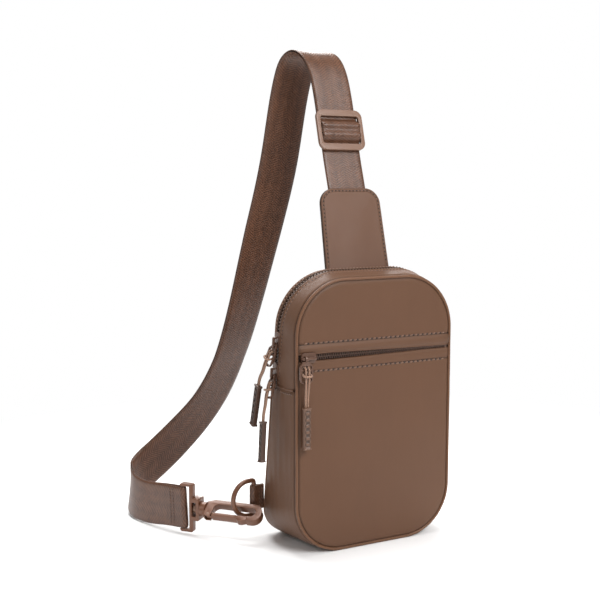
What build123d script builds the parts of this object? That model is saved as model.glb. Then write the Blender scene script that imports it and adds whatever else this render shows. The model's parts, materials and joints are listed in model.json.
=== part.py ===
"""Sling bag with a front zip pocket, a two-slider main zip, a webbing strap with a
tri-glide adjuster, and a swivel hook clipped to a D-ring.

Millimetres.  Origin: on the floor, midway between the front and back faces.
+X to the right along the front panel, +Y towards the back panel, +Z up.
"""
from build123d import *
from math import cos, radians, sin, tan
import os

os.makedirs("parts", exist_ok=True)

# ---------------------------------------------------------------- driving dimensions
WIDTH = 156.0            # bag, side to side
FRONT_HEIGHT = 235.0     # top of the front outline
BACK_HEIGHT = 240.0      # top of the back outline
TOP_RADIUS = 48.0        # both top corners
FRONT_LOW_RADIUS = 45.0  # bottom corners of the front outline
BACK_LOW_RADIUS = 28.0   # bottom corners of the back outline
FRONT_Y = -34.0          # outer face of the front panels
BACK_FOOT_Y = 34.0       # outer face of the back panel, at the floor
LEAN = radians(8.4)      # the back panel leans forward going up
SHELL = 2.0              # coated fabric and its foam
SEAM_DIA = 2.8           # turned edge along the front and back seams
SOLE = 0.06              # pressed off the gusset where it stands

GUSSET_JOIN_Z = 142.0    # the lower gusset ends and the zip gusset begins
CHAIN_TO_BACK = 10.0     # main zip to the back face, along Y
CHAIN_GAP = 5.2          # slot in the fabric over a zip chain
TEETH_IN, TEETH_OUT = 1.0, 2.4     # each row of teeth, from the chain's middle
TAPE_HALF = 6.4          # zip tape, from the chain's middle
TEETH_DEPTH = (0.9, 2.0)           # below the fabric's face
TAPE_DEPTH = (2.05, 2.6)

STOP_WIDTH, STOP_LENGTH, STOP_CORNER = 4.8, 1.6, 0.5
STOP_THICK = 1.6
POCKET_STOP_THICK = 1.2
STOP_ROOM = 2.2          # left clear of teeth at each end of the pocket's chain

POCKET_ZIP_Z = 170.0
POCKET_ZIP_HALF = 73.4
WELT_TOP_Z = 181.0       # upper row of stitches over the pocket zip
POCKET_DEPTH = 7.0
POCKET_TOP_Z = 188.0
LINING = 0.8
LINING_INSET = 3.4
FOAM = 3.0

PATCH_BOTTOM_WIDTH = 64.0
PATCH_TOP_WIDTH = 60.0
PATCH_LENGTH = 70.0
PATCH_LEAN = radians(13)
PATCH_FOOT = (0, -0.4, 240.6)
PATCH_LAYER = 1.5
PATCH_CORNER = 14.0
PATCH_GAP = 0.3          # each layer to the webbing between them

WEB_WIDTH = 38.0
WEB_THICK = 1.5
WEB_IN_HOOK = 37.0       # width where it is gathered round the hook's bar
WEB_PITCH = WEB_THICK + 0.2        # between the two runs of webbing
STRAP_SECTIONS = 54

GLIDE_WIDTH = 46.0
GLIDE_HEIGHT = 36.6
GLIDE_RAIL = 5.6         # height of the top and bottom rails
GLIDE_SIDE = 3.6
GLIDE_THICK = 3.0
GLIDE_OFF = 4.0          # middle of its thickness, in front of the webbing's middle
GLIDE_Z = 358.0          # its middle, on the strap's rising run
CENTRE_BAR = 2.2
GLIDE_CORNER, WINDOW_CORNER = 7.0, 2.5

RING_WIRE = 4.2
RING_HALF_HEIGHT = 15.6  # to the wire's middle
RING_BAR_X, RING_Y, RING_Z = -87.0, 30.0, 37.0
RING_BOW = -5.9          # centre of the round bow, from the bar
RING_YAW = radians(9)    # it rests turned a little to the front
RING_TAB_HEIGHT = 22.0
RING_TAB_LAYER = 1.4

HOOK_BAR = Vector(-139.0, 66.8, 25.5)   # strap bar of the hook's frame, its middle
HOOK_HEADING = radians(-48.2)           # in plan, from the frame towards the nose
HOOK_ROLL = radians(60)                 # the gate is rolled towards the front
HOOK_FRAME_HEIGHT = 44.0
HOOK_FRAME_THICK = 5.0
HOOK_BAR_RADIUS = 1.6
HOOK_THICK = 6.6
THROAT_HALF = 4.75
JAW = 4.5
GATE_THICK = 3.4
GATE_TIP = 64.0          # along the hook's axis, from the strap bar
NOSE_END = 76.0

SLIDER_LENGTH = 14.0
SLIDER_WIDTH = 8.6
UPPER_SLIDER_Z = 181.5
LOWER_SLIDER_Z = 154.5
POCKET_SLIDER_X = -66.8
SLIDER_LAYERS = (        # height out of the fabric's face, width, length, corner, thickness
    (0.3, SLIDER_WIDTH, SLIDER_LENGTH, 3.2, 1.4),
    (-3.2, 1.5, 6.0, 0.7, 3.6),
    (-4.4, 4.4, SLIDER_LENGTH - 2, 1.8, 1.4),
)
SIDE_CROWN = (-6.5, 3.0, 6.0, 1.5)      # low end, high end, top, thickness
BAR_CROWN = (-7.0, 6.4, 5.3, 1.7)
SIDE_EYE = (-3.3, 3.1)                  # along the chain and out of it, from the slider
BAR_EYE = (-4.0, 4.45)
PULL_WIDTH = 12.4
PULL_LENGTH = 20.8       # below the eye
PULL_THICK = 1.6
CORD_BAR_Y = -9.2        # the cross bar that carries the cord
CORD_DIA = 1.8
GRIP_TOP = -40.0
GRIP_SIZE = (6.2, 36.0, 4.8)            # width, length, thickness
GRIP_LIP = (7.2, 1.8, 5.8)
GRIP_CORNER = 1.8
CLEAR = 0.3              # between bodies that move against each other

UP_BACK = Vector(0, -sin(LEAN), cos(LEAN))
OUT_BACK = Vector(0, cos(LEAN), sin(LEAN))


def finish(builder, label):
    """Label a finished piece and write it."""
    builder.part.label = label
    export_step(builder.part, f"parts/{label}.step")


# ---------------------------------------------------------------- outlines of the body
def front_plane(y):
    return Plane(origin=(0, y, 0), x_dir=(1, 0, 0), z_dir=(0, -1, 0))


def back_plane(depth):
    """Parallel to the back panel's outer face, that far in front of it."""
    origin = Vector(0, BACK_FOOT_Y, 0) - OUT_BACK * depth
    return Plane(origin=origin, x_dir=(1, 0, 0), z_dir=OUT_BACK * -1)


def chain_plane(offset):
    """Parallel to the back panel, through the main zip's middle."""
    origin = Vector(0, BACK_FOOT_Y - CHAIN_TO_BACK, 0) + OUT_BACK * offset
    return Plane(origin=origin, x_dir=(1, 0, 0), z_dir=OUT_BACK)


def chain_point(z):
    """A point of the main zip's straight left side."""
    foot = Vector(-WIDTH / 2, BACK_FOOT_Y - CHAIN_TO_BACK, 0)
    return foot + UP_BACK * (z / cos(LEAN))


def outline(plane, bottom, top, low_radius, inset):
    """A bag-shaped face: a rectangle with its own radii at the bottom and top corners."""
    half = WIDTH / 2 - inset
    bottom = bottom + inset
    top = top - inset
    low = low_radius - inset
    high = TOP_RADIUS - inset
    with BuildSketch(plane) as face:
        with BuildLine():
            FilletPolyline((half, bottom), (half, top), (-half, top), (-half, bottom),
                           radius=[low, high, high, low], close=True)
        make_face()
    return face


def front_outline(y, inset, sole=0.0):
    return outline(front_plane(y), -sole, FRONT_HEIGHT, FRONT_LOW_RADIUS, inset)


def back_outline(depth, inset, sole=0.0):
    low = depth * tan(LEAN)
    return outline(back_plane(depth), low - sole, BACK_HEIGHT / cos(LEAN) + low,
                   BACK_LOW_RADIUS, inset)


def band_between(outer_inset, inner_inset, sole=0.0):
    """The closed band that joins the front outline to the back outline.  The sole is how
    far its outside is let down below the floor, to be trimmed flat."""
    for inset, drop, mode in ((outer_inset, sole, Mode.ADD), (inner_inset, 0, Mode.SUBTRACT)):
        front = front_outline(FRONT_Y + SEAM_DIA, inset, drop)
        back = back_outline(SEAM_DIA, inset, drop)
        loft([front.sketch, back.sketch], ruled=True, mode=mode)


def keep_near_chain(reach, gap):
    """Keep two strips of the band, one each side of the main zip's middle."""
    split(bisect_by=chain_plane(-reach), keep=Keep.TOP)
    split(bisect_by=chain_plane(reach), keep=Keep.BOTTOM)
    with BuildSketch(chain_plane(-gap)) as slab:
        Rectangle(4 * WIDTH, 4 * BACK_HEIGHT)
    extrude(slab.sketch, amount=2 * gap, mode=Mode.SUBTRACT)


# ---------------------------------------------------------------- gusset
with BuildPart() as lower_gusset:
    band_between(0, SHELL, SOLE)
    split(bisect_by=Plane.XY.offset(GUSSET_JOIN_Z), keep=Keep.BOTTOM)
    split(bisect_by=Plane.XY, keep=Keep.TOP)
finish(lower_gusset, "lower_gusset")

with BuildPart() as upper_gusset_front:
    band_between(0, SHELL)
    split(bisect_by=Plane.XY.offset(GUSSET_JOIN_Z), keep=Keep.TOP)
    split(bisect_by=chain_plane(-CHAIN_GAP / 2), keep=Keep.BOTTOM)
finish(upper_gusset_front, "upper_gusset_front")

with BuildPart() as upper_gusset_back:
    band_between(0, SHELL)
    split(bisect_by=Plane.XY.offset(GUSSET_JOIN_Z), keep=Keep.TOP)
    split(bisect_by=chain_plane(CHAIN_GAP / 2), keep=Keep.TOP)
finish(upper_gusset_back, "upper_gusset_back")


# ---------------------------------------------------------------- seams and panels
def sweep_seam(face):
    """A round turned edge around an outline."""
    path = face.sketch.faces()[0].outer_wire()
    with BuildSketch(Plane(origin=path @ 0, z_dir=path % 0)) as section:
        Circle(SEAM_DIA / 2)
    sweep(section.sketch, path=path)


front_seam_path = front_outline(FRONT_Y + SEAM_DIA / 2, SEAM_DIA / 2)
with BuildPart() as front_seam_edge:
    sweep_seam(front_seam_path)
finish(front_seam_edge, "front_seam_edge")

back_seam_path = back_outline(SEAM_DIA / 2, SEAM_DIA / 2)
with BuildPart() as back_seam_edge:
    sweep_seam(back_seam_path)
finish(back_seam_edge, "back_seam_edge")

with BuildPart() as front_panel_lower:
    extrude(front_outline(FRONT_Y, SEAM_DIA).sketch, amount=-SHELL)
    split(bisect_by=Plane.XY.offset(POCKET_ZIP_Z - CHAIN_GAP / 2), keep=Keep.BOTTOM)
finish(front_panel_lower, "front_panel_lower")

with BuildPart() as front_panel_upper:
    extrude(front_outline(FRONT_Y, SEAM_DIA).sketch, amount=-SHELL)
    split(bisect_by=Plane.XY.offset(WELT_TOP_Z), keep=Keep.TOP)
finish(front_panel_upper, "front_panel_upper")

welt_low = POCKET_ZIP_Z + CHAIN_GAP / 2
fold_low = POCKET_ZIP_Z + SLIDER_WIDTH / 2 + 0.5
with BuildPart() as pocket_welt:
    with BuildSketch(Plane.YZ):
        with BuildLine():
            ThreePointArc((FRONT_Y, WELT_TOP_Z), (FRONT_Y - 1.4, (WELT_TOP_Z + fold_low) / 2),
                          (FRONT_Y, fold_low))
            Polyline((FRONT_Y, fold_low), (FRONT_Y, welt_low), (FRONT_Y + SHELL, welt_low),
                     (FRONT_Y + SHELL, WELT_TOP_Z), (FRONT_Y, WELT_TOP_Z))
        make_face()
    extrude(amount=WIDTH / 2 - SEAM_DIA, both=True)
finish(pocket_welt, "pocket_welt")

with BuildPart() as back_panel:
    extrude(back_outline(0, SEAM_DIA + SHELL * tan(LEAN)).sketch, amount=SHELL)
finish(back_panel, "back_panel")

with BuildPart() as back_foam:
    extrude(back_outline(SHELL + 0.1, LINING_INSET + 2).sketch, amount=FOAM)
finish(back_foam, "back_foam")

# ---------------------------------------------------------------- linings
with BuildPart() as pocket_space:
    extrude(front_outline(FRONT_Y + SHELL, LINING_INSET + LINING).sketch,
            amount=LINING - POCKET_DEPTH)
    split(bisect_by=Plane.XY.offset(POCKET_TOP_Z - LINING), keep=Keep.BOTTOM)
with BuildPart() as pocket_lining:
    extrude(front_outline(FRONT_Y + SHELL, LINING_INSET).sketch, amount=-POCKET_DEPTH)
    split(bisect_by=Plane.XY.offset(POCKET_TOP_Z), keep=Keep.BOTTOM)
    add(pocket_space.part, mode=Mode.SUBTRACT)
finish(pocket_lining, "pocket_lining")

liner_front_y = FRONT_Y + SHELL + POCKET_DEPTH + 0.4
liner_back = SHELL + FOAM + 0.5
with BuildPart() as main_lining:
    loft([front_outline(liner_front_y, LINING_INSET).sketch,
          back_outline(liner_back, LINING_INSET).sketch], ruled=True)
    loft([front_outline(liner_front_y + LINING, LINING_INSET + LINING).sketch,
          back_outline(liner_back + LINING, LINING_INSET + LINING).sketch],
         ruled=True, mode=Mode.SUBTRACT)
    split(bisect_by=Plane.XY.offset(GUSSET_JOIN_Z - 2), keep=Keep.BOTTOM)
finish(main_lining, "main_lining")

# ---------------------------------------------------------------- main zip
with BuildPart() as main_zip_tapes:
    band_between(*TAPE_DEPTH)
    split(bisect_by=Plane.XY.offset(GUSSET_JOIN_Z + 1), keep=Keep.TOP)
    keep_near_chain(TAPE_HALF, TEETH_IN)
finish(main_zip_tapes, "main_zip_tapes")

with BuildPart() as main_zip_teeth:
    band_between(*TEETH_DEPTH)
    split(bisect_by=Plane.XY.offset(GUSSET_JOIN_Z + 3.2), keep=Keep.TOP)
    keep_near_chain(TEETH_OUT, TEETH_IN)
finish(main_zip_teeth, "main_zip_teeth")

stop_foot = GUSSET_JOIN_Z + 1.4
with BuildPart() as main_zip_stops:
    for side in (-1, 1):
        stop = chain_point(stop_foot)
        stop.X = side * (WIDTH / 2 - TEETH_DEPTH[1])
        with BuildSketch(Plane(origin=stop, x_dir=OUT_BACK, z_dir=(side, 0, 0))):
            RectangleRounded(STOP_WIDTH, STOP_LENGTH, STOP_CORNER)
        extrude(amount=STOP_THICK)
finish(main_zip_stops, "main_zip_stops")


# ---------------------------------------------------------------- pocket zip
def pocket_strips(near, far, depth):
    """Two strips along the pocket zip, above and below its middle, at a range of depths."""
    with BuildSketch(front_plane(FRONT_Y + depth[0])) as strips:
        for side in (-1, 1):
            with Locations((0, POCKET_ZIP_Z + side * (near + far) / 2)):
                Rectangle(2 * POCKET_ZIP_HALF, far - near)
    extrude(strips.sketch, amount=depth[0] - depth[1])


with BuildPart() as pocket_zip_tapes:
    pocket_strips(TEETH_IN, TAPE_HALF, TAPE_DEPTH)
finish(pocket_zip_tapes, "pocket_zip_tapes")

with BuildPart() as pocket_zip_teeth:
    pocket_strips(TEETH_IN, TEETH_OUT, TEETH_DEPTH)
    with BuildSketch(front_plane(FRONT_Y)):
        with Locations((0, POCKET_ZIP_Z)):
            Rectangle(2 * POCKET_ZIP_HALF, 3 * TEETH_OUT)
            Rectangle(2 * (POCKET_ZIP_HALF - STOP_ROOM), 4 * TEETH_OUT, mode=Mode.SUBTRACT)
    extrude(amount=-2 * TEETH_DEPTH[1], mode=Mode.SUBTRACT)
finish(pocket_zip_teeth, "pocket_zip_teeth")


with BuildPart() as pocket_zip_stops:
    with BuildSketch(front_plane(FRONT_Y + TEETH_DEPTH[0] - 0.3)):
        for side in (-1, 1):
            with Locations((side * (POCKET_ZIP_HALF - STOP_ROOM / 2), POCKET_ZIP_Z)):
                RectangleRounded(STOP_LENGTH, STOP_WIDTH, STOP_CORNER)
    extrude(amount=-POCKET_STOP_THICK)
finish(pocket_zip_stops, "pocket_zip_stops")


# ---------------------------------------------------------------- zip pulls
def slider_frame(origin, along, out):
    """Local y runs along the chain and local z out of the fabric's face."""
    return Plane(origin=origin, x_dir=along.cross(out), z_dir=out)


def pull_frame(eye, hang, out):
    """Local y runs up the pull from its grip, local z away from the bag."""
    up = hang.normalized() * -1
    across = up.cross(out).normalized()
    return Plane(origin=eye, x_dir=across, z_dir=across.cross(up))


def make_slider(frame, crown):
    """Two plates joined by a post between the rows of teeth, with an arched crown."""
    low, high, top, thick = crown
    for level, width, length, corner, height in SLIDER_LAYERS:
        with BuildSketch(frame.offset(level)) as layer:
            RectangleRounded(width, length, corner)
        extrude(layer.sketch, amount=height)
    side_view = Plane(origin=frame.from_local_coords((1.0, 0, 0)), x_dir=frame.y_dir,
                      z_dir=frame.x_dir)
    with BuildSketch(side_view) as arch:
        with BuildLine():
            FilletPolyline((low, 1.2), (low, top), (high, top), (high, 1.2), radius=1.5)
            Line((high, 1.2), (low, 1.2))
        make_face()
        with BuildLine():
            FilletPolyline((low + thick, 1.7), (low + thick, top - thick),
                           (high - thick, top - thick), (high - thick, 1.7), radius=0.6)
            Line((high - thick, 1.7), (low + thick, 1.7))
        make_face(mode=Mode.SUBTRACT)
    extrude(arch.sketch, amount=-2.0)


def pull_plate(eye_hole):
    """The flat pull tab: a narrow neck, a cord window, the cord's bar and a long slot."""
    slot_half = PULL_WIDTH / 2 - 1.6
    with BuildLine() as rim:
        FilletPolyline((-3.6, 0.8), (3.6, 0.8), (3.6, -3.4), (PULL_WIDTH / 2, -6.4),
                       (PULL_WIDTH / 2, -PULL_LENGTH), (-PULL_WIDTH / 2, -PULL_LENGTH),
                       (-PULL_WIDTH / 2, -6.4), (-3.6, -3.4), close=True,
                       radius=[1.6, 1.6, 1.0, 1.4, 5.0, 5.0, 1.4, 1.0])
    make_face(rim.edges())
    for top, bottom, half in ((-5.6, CORD_BAR_Y + 0.8, slot_half),
                              (CORD_BAR_Y - 0.8, 2.0 - PULL_LENGTH, slot_half)):
        with Locations((0, (top + bottom) / 2)):
            RectangleRounded(2 * half, top - bottom, 1.2, mode=Mode.SUBTRACT)
    if eye_hole:
        with Locations((0, -2.6)):
            RectangleRounded(4.6, 3.6, 1.0, mode=Mode.SUBTRACT)
    else:
        with Locations((0, -0.6)):
            Rectangle(9.0, 3.2, mode=Mode.SUBTRACT)


def make_side_tab(frame):
    with BuildSketch(frame.offset(-PULL_THICK / 2)) as plate:
        pull_plate(True)
    extrude(plate.sketch, amount=PULL_THICK)


def make_bar_tab(frame):
    """The pocket's tab ends in a rolled eye around the slider's bar."""
    with BuildSketch(frame.offset(-PULL_THICK / 2)) as plate:
        pull_plate(False)
    extrude(plate.sketch, amount=PULL_THICK)
    roll = Plane(origin=frame.from_local_coords((-1.1, 0, 0)), x_dir=frame.y_dir,
                 z_dir=frame.x_dir)
    with BuildSketch(roll) as eye:
        Circle(2.4)
    extrude(eye.sketch, amount=2.2)
    with BuildSketch(roll.offset(-1)) as hole:
        Circle(1.5)
    extrude(hole.sketch, amount=4.6, mode=Mode.SUBTRACT)


def cord_route(frame, grip_way):
    """One leg up from the grip, over the tab's bar, round both legs, and back."""
    top = Vector(0, GRIP_TOP, 0.6)
    way = frame.to_local_coords(frame.origin + grip_way.normalized())
    beside = (Vector(1, 0, 0) - way * way.X) * 0.95
    foot = [top, top - way * 6]
    leg = [
        Vector(1.1, -27.5, 1.5), Vector(1.35, -20, 2.4), Vector(1.5, -13, 2.3),
        Vector(1.5, -6.8, 2.25), Vector(1.5, -6.7, -2.3), Vector(2.1, -11, -2.4),
        Vector(3.5, -12.9, 0.2), Vector(3.5, -14.2, 4.6),
    ]
    left = [p - beside for p in foot] + [Vector(-p.X, p.Y, p.Z) for p in leg]
    right = [p + beside for p in foot] + leg
    return [frame.from_local_coords(p) for p in left + right[::-1]]


def corner_radii(route):
    """As large an arc at each corner as its two runs allow."""
    radii = []
    for before, corner, after in zip(route, route[1:], route[2:]):
        arrive = corner - before
        leave = after - corner
        turn = radians(arrive.get_angle(leave))
        radii.append(0.45 * min(arrive.length, leave.length) / tan(turn / 2))
    return radii


def make_cord(route):
    with BuildLine() as path:
        FilletPolyline(*route, radius=corner_radii(route))
    with BuildSketch(Plane(origin=route[0], z_dir=route[1] - route[0])) as section:
        Circle(CORD_DIA / 2)
    sweep(section.sketch, path=path.wire())


def make_grip(frame, grip_way):
    """A moulded grip with a lip at each end, on the cord's two ends."""
    top = frame.from_local_coords((0, GRIP_TOP, 0.6))
    way = grip_way.normalized()
    place = Plane(origin=top, x_dir=frame.x_dir, z_dir=way)
    levels = (0, GRIP_LIP[1], GRIP_SIZE[1] - GRIP_LIP[1], GRIP_SIZE[1])
    sizes = (GRIP_LIP, GRIP_SIZE, GRIP_LIP)
    for start, end, size in zip(levels, levels[1:], sizes):
        with BuildSketch(place.offset(start)) as section:
            RectangleRounded(size[0], size[2], GRIP_CORNER)
        extrude(section.sketch, amount=end - start)


LEFT = Vector(-1, 0, 0)
FORWARD = Vector(0, -1, 0)


def side_eye(z):
    return chain_point(z) + UP_BACK * SIDE_EYE[0] + LEFT * SIDE_EYE[1]


pocket_mid = Vector(POCKET_SLIDER_X, FRONT_Y, POCKET_ZIP_Z)
pocket_eye = pocket_mid + Vector(BAR_EYE[0], 0, 0) + FORWARD * BAR_EYE[1]
pulls = {
    "upper": dict(
        slider=slider_frame(chain_point(UPPER_SLIDER_Z), UP_BACK, LEFT), crown=SIDE_CROWN,
        pull=pull_frame(side_eye(UPPER_SLIDER_Z), Vector(-9.3, 13.3, -37.2), LEFT),
        grip_way=Vector(-0.10, 0.10, -1), tab=make_side_tab),
    "lower": dict(
        slider=slider_frame(chain_point(LOWER_SLIDER_Z), UP_BACK, LEFT), crown=SIDE_CROWN,
        pull=pull_frame(side_eye(LOWER_SLIDER_Z), Vector(-12.1, -5.7, -38.2), LEFT),
        grip_way=Vector(-0.05, 0.0, -1), tab=make_side_tab),
    "pocket": dict(
        slider=slider_frame(pocket_mid, Vector(1, 0, 0), FORWARD), crown=BAR_CROWN,
        pull=pull_frame(pocket_eye, Vector(0, -0.3, -40), FORWARD),
        grip_way=Vector(0, 0, -1), tab=make_bar_tab),
}

for name, pull in pulls.items():
    with BuildPart() as slider:
        make_slider(pull["slider"], pull["crown"])
    finish(slider, f"{name}_slider")
    with BuildPart() as tab:
        pull["tab"](pull["pull"])
    finish(tab, f"{name}_pull_tab")
    with BuildPart() as cord:
        make_cord(cord_route(pull["pull"], pull["grip_way"]))
    finish(cord, f"{name}_pull_cord")
    with BuildPart() as grip:
        make_grip(pull["pull"], pull["grip_way"])
    finish(grip, f"{name}_pull_grip")


# ---------------------------------------------------------------- strap patch
PATCH_FACE = Vector(0, -cos(PATCH_LEAN), sin(PATCH_LEAN))
patch_plane = Plane(origin=PATCH_FOOT, x_dir=(1, 0, 0), z_dir=PATCH_FACE)


def make_patch(level):
    """One layer: a tapered panel with round top corners."""
    low = PATCH_BOTTOM_WIDTH / 2
    high = PATCH_TOP_WIDTH / 2
    with BuildSketch(patch_plane.offset(level)) as face:
        with BuildLine():
            FilletPolyline((low, 0), (high, PATCH_LENGTH), (-high, PATCH_LENGTH), (-low, 0),
                           radius=[PATCH_CORNER, PATCH_CORNER])
            Line((-low, 0), (low, 0))
        make_face()
    extrude(face.sketch, amount=PATCH_LAYER)


with BuildPart() as patch_front:
    make_patch(WEB_THICK / 2 + PATCH_GAP)
finish(patch_front, "patch_front")

with BuildPart() as patch_back:
    make_patch(-WEB_THICK / 2 - PATCH_GAP - PATCH_LAYER)
finish(patch_back, "patch_back")

# ---------------------------------------------------------------- strap webbing
# The strap's middle line, with the way its width points there: across the bag from the
# patch over the crown, turning to stand on edge where it comes down to the floor.
STRAP_ROUTE = [
    ((0, 5.2, 265), (1, 0, 0)),
    ((-0.8, 10.3, 287), (1, 0, 0)),
    ((-1.8, 15.4, 309), (1, 0, 0)),
    ((-2.2, 23.2, 335), (1, 0, 0)),
    ((-2.2, 31.9, 365), (1, 0, 0)),
    ((-2.4, 40.6, 395), (1, 0, 0)),
    ((-4, 47, 414), (1, 0, 0)),
    ((-7.5, 56, 427), (1, 0, 0)),
    ((-12, 68, 431), (1, 0, 0)),
    ((-16, 79, 425), (1, 0, 0)),
    ((-19, 86, 410), (1, 0, 0)),
    ((-22, 90, 388), (1, 0, 0)),
    ((-29, 94.5, 336), (1, 0, 0)),
    ((-42, 103, 269), (1, 0.05, 0)),
    ((-54.5, 116, 201), (1, 0.2, 0)),
    ((-65, 132, 146), (0.93, 0.3, -0.1)),
    ((-82, 150, 99), (0.75, 0.3, -0.5)),
    ((-106, 163, 66), (0.45, 0.2, -0.8)),
    ((-131, 167, 43), (0.15, 0.1, -1)),
    ((-152, 162, 28.5), (0, 0, -1)),
    ((-162.5, 146, 22.5), (-0.12, 0, -1)),
    ((-163, 126, 20.5), (-0.14, 0, -1)),
    ((-157.5, 106, 21.0), (-0.10, 0, -1)),
    ((-150, 86, 23.6), (-0.04, 0, -1)),
    ((-141.5, 65.7, 25.3), (0, 0, -1)),
]
LOOP_START = 0.1         # the loop's ends, past the bar's middle
HOOK_TURN = 2.75         # radius of the webbing's middle where it turns round the hook's bar
RETURN_SPREAD = 0.05     # share of the strap over which the two runs part towards the hook


def strap_sections():
    """Planes along the strap: local x across it, local z along it, local y inwards."""
    places = [Vector(place) for place, across in STRAP_ROUTE]
    guides = [Vector(across) for place, across in STRAP_ROUTE]
    route = Edge.make_spline(places)
    marks = [route.param_at_point(place) for place in places]
    planes = []
    for i in range(STRAP_SECTIONS + 1):
        u = i / STRAP_SECTIONS
        k = max(j for j in range(len(marks) - 1) if marks[j] <= u + 1e-9)
        blend = (u - marks[k]) / (marks[k + 1] - marks[k])
        guide = guides[k] * (1 - blend) + guides[k + 1] * blend
        heading = (route % u).normalized()
        across = (guide - heading * guide.dot(heading)).normalized()
        planes.append(Plane(origin=route @ u, x_dir=across, z_dir=heading))
    return planes


strap_planes = strap_sections()


def strap_run(planes, offsets):
    """Webbing through a row of planes, each moved inwards by its own offset."""
    sections = []
    for plane, offset in zip(planes, offsets):
        moved = Plane(origin=plane.origin + plane.y_dir * offset, x_dir=plane.x_dir,
                      z_dir=plane.z_dir)
        width = WEB_IN_HOOK if plane is strap_planes[-1] else WEB_WIDTH
        with BuildSketch(moved) as section:
            Rectangle(width, WEB_THICK)
        sections.append(section.sketch)
    for before, after in zip(sections, sections[1:]):
        loft([before, after], ruled=True)


def return_offset(u):
    """How far inside the outer run the return run lies."""
    apart = max(0.0, (u - 1 + RETURN_SPREAD) / RETURN_SPREAD)
    return WEB_PITCH + (2 * HOOK_TURN - WEB_PITCH) * apart


with BuildPart() as strap_webbing:
    strap_run(strap_planes, [0.0] * len(strap_planes))
finish(strap_webbing, "strap_webbing")

return_start = next(i for i, plane in enumerate(strap_planes) if plane.origin.Z > GLIDE_Z)
with BuildPart() as strap_return:
    shares = [i / STRAP_SECTIONS for i in range(return_start, STRAP_SECTIONS + 1)]
    strap_run(strap_planes[return_start:], [return_offset(u) for u in shares])
finish(strap_return, "strap_return")

arrive = strap_planes[-1].z_dir
inward = Vector(-arrive.Y, arrive.X, 0).normalized()
with BuildPart() as strap_hook_loop:
    with BuildSketch(Plane(origin=HOOK_BAR - Vector(0, 0, WEB_IN_HOOK / 2), x_dir=inward,
                           z_dir=(0, 0, 1))):
        Circle(HOOK_TURN + WEB_THICK / 2)
        Circle(HOOK_TURN - WEB_THICK / 2, mode=Mode.SUBTRACT)
        with Locations((0, HOOK_TURN * 2 - LOOP_START)):
            Rectangle(HOOK_TURN * 4, HOOK_TURN * 4, mode=Mode.SUBTRACT)
    extrude(amount=WEB_IN_HOOK)
finish(strap_hook_loop, "strap_hook_loop")

# ---------------------------------------------------------------- tri-glide adjuster
rising_planes = strap_planes[:STRAP_SECTIONS // 3]
glide_strap = min(rising_planes, key=lambda plane: abs(plane.origin.Z - GLIDE_Z))
glide_plane = Plane(origin=glide_strap.origin, x_dir=(1, 0, 0), z_dir=glide_strap.y_dir * -1)
glide_window = GLIDE_HEIGHT - 2 * GLIDE_RAIL

with BuildPart() as glide_frame:
    with BuildSketch(glide_plane.offset(GLIDE_OFF - GLIDE_THICK / 2)):
        RectangleRounded(GLIDE_WIDTH, GLIDE_HEIGHT, GLIDE_CORNER)
        RectangleRounded(GLIDE_WIDTH - 2 * GLIDE_SIDE, glide_window, WINDOW_CORNER,
                         mode=Mode.SUBTRACT)
    extrude(amount=GLIDE_THICK)
    with BuildSketch(glide_plane.offset(GLIDE_OFF - CENTRE_BAR / 2)):
        Rectangle(GLIDE_WIDTH - GLIDE_SIDE, CENTRE_BAR)
    extrude(amount=CENTRE_BAR)
finish(glide_frame, "glide_frame")

WRAP_THICK = 1.4
WRAP_EASE = 0.25         # between layers of webbing in the adjuster
WRAP_ENDS, WRAP_FOOT, WRAP_CREST = 17.6, 11.2, 5.6     # half lengths of its three levels
RETURN_END_LENGTH, RETURN_END_UP = 13.0, 1.5
wrap_low = WEB_THICK / 2 + WRAP_EASE + WRAP_THICK / 2 + 0.02
wrap_top = GLIDE_OFF + CENTRE_BAR / 2 + WRAP_THICK / 2 + 0.3
with BuildPart() as glide_wrap:
    wrap_view = Plane(origin=glide_plane.from_local_coords((-WEB_WIDTH / 2 + 0.2, 0, 0)),
                      x_dir=glide_plane.y_dir, z_dir=glide_plane.x_dir)
    with BuildSketch(wrap_view):
        with BuildLine() as wrap_line:
            FilletPolyline((-WRAP_ENDS, wrap_low), (-WRAP_FOOT, wrap_low),
                           (-WRAP_CREST, wrap_top), (WRAP_CREST, wrap_top),
                           (WRAP_FOOT, wrap_low), (WRAP_ENDS, wrap_low), radius=2.4)
        trace(wrap_line.edges(), line_width=WRAP_THICK)
    extrude(amount=WEB_WIDTH - 0.4)
finish(glide_wrap, "glide_wrap")

with BuildPart() as return_end:
    with BuildSketch(glide_plane.offset(WEB_THICK / 2 + WRAP_EASE)):
        with Locations((0, RETURN_END_UP)):
            Rectangle(WEB_WIDTH - 1, RETURN_END_LENGTH)
    extrude(amount=WRAP_THICK)
finish(return_end, "return_end")

# ---------------------------------------------------------------- D-ring and its tab
with BuildPart() as ring_tab:
    with BuildSketch(Plane.XY.offset(RING_Z - RING_TAB_HEIGHT / 2)):
        with Locations((RING_BAR_X, RING_Y)):
            Circle(RING_WIRE / 2 + CLEAR + RING_TAB_LAYER)
        with Locations(((RING_BAR_X - WIDTH / 2 - 0.1) / 2, RING_Y)):
            Rectangle(-WIDTH / 2 - 0.1 - RING_BAR_X, 2 * RING_TAB_LAYER + 0.2)
        with Locations((RING_BAR_X, RING_Y)):
            Circle(RING_WIRE / 2 + CLEAR, mode=Mode.SUBTRACT)
    extrude(amount=RING_TAB_HEIGHT)
finish(ring_tab, "ring_tab")

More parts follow.
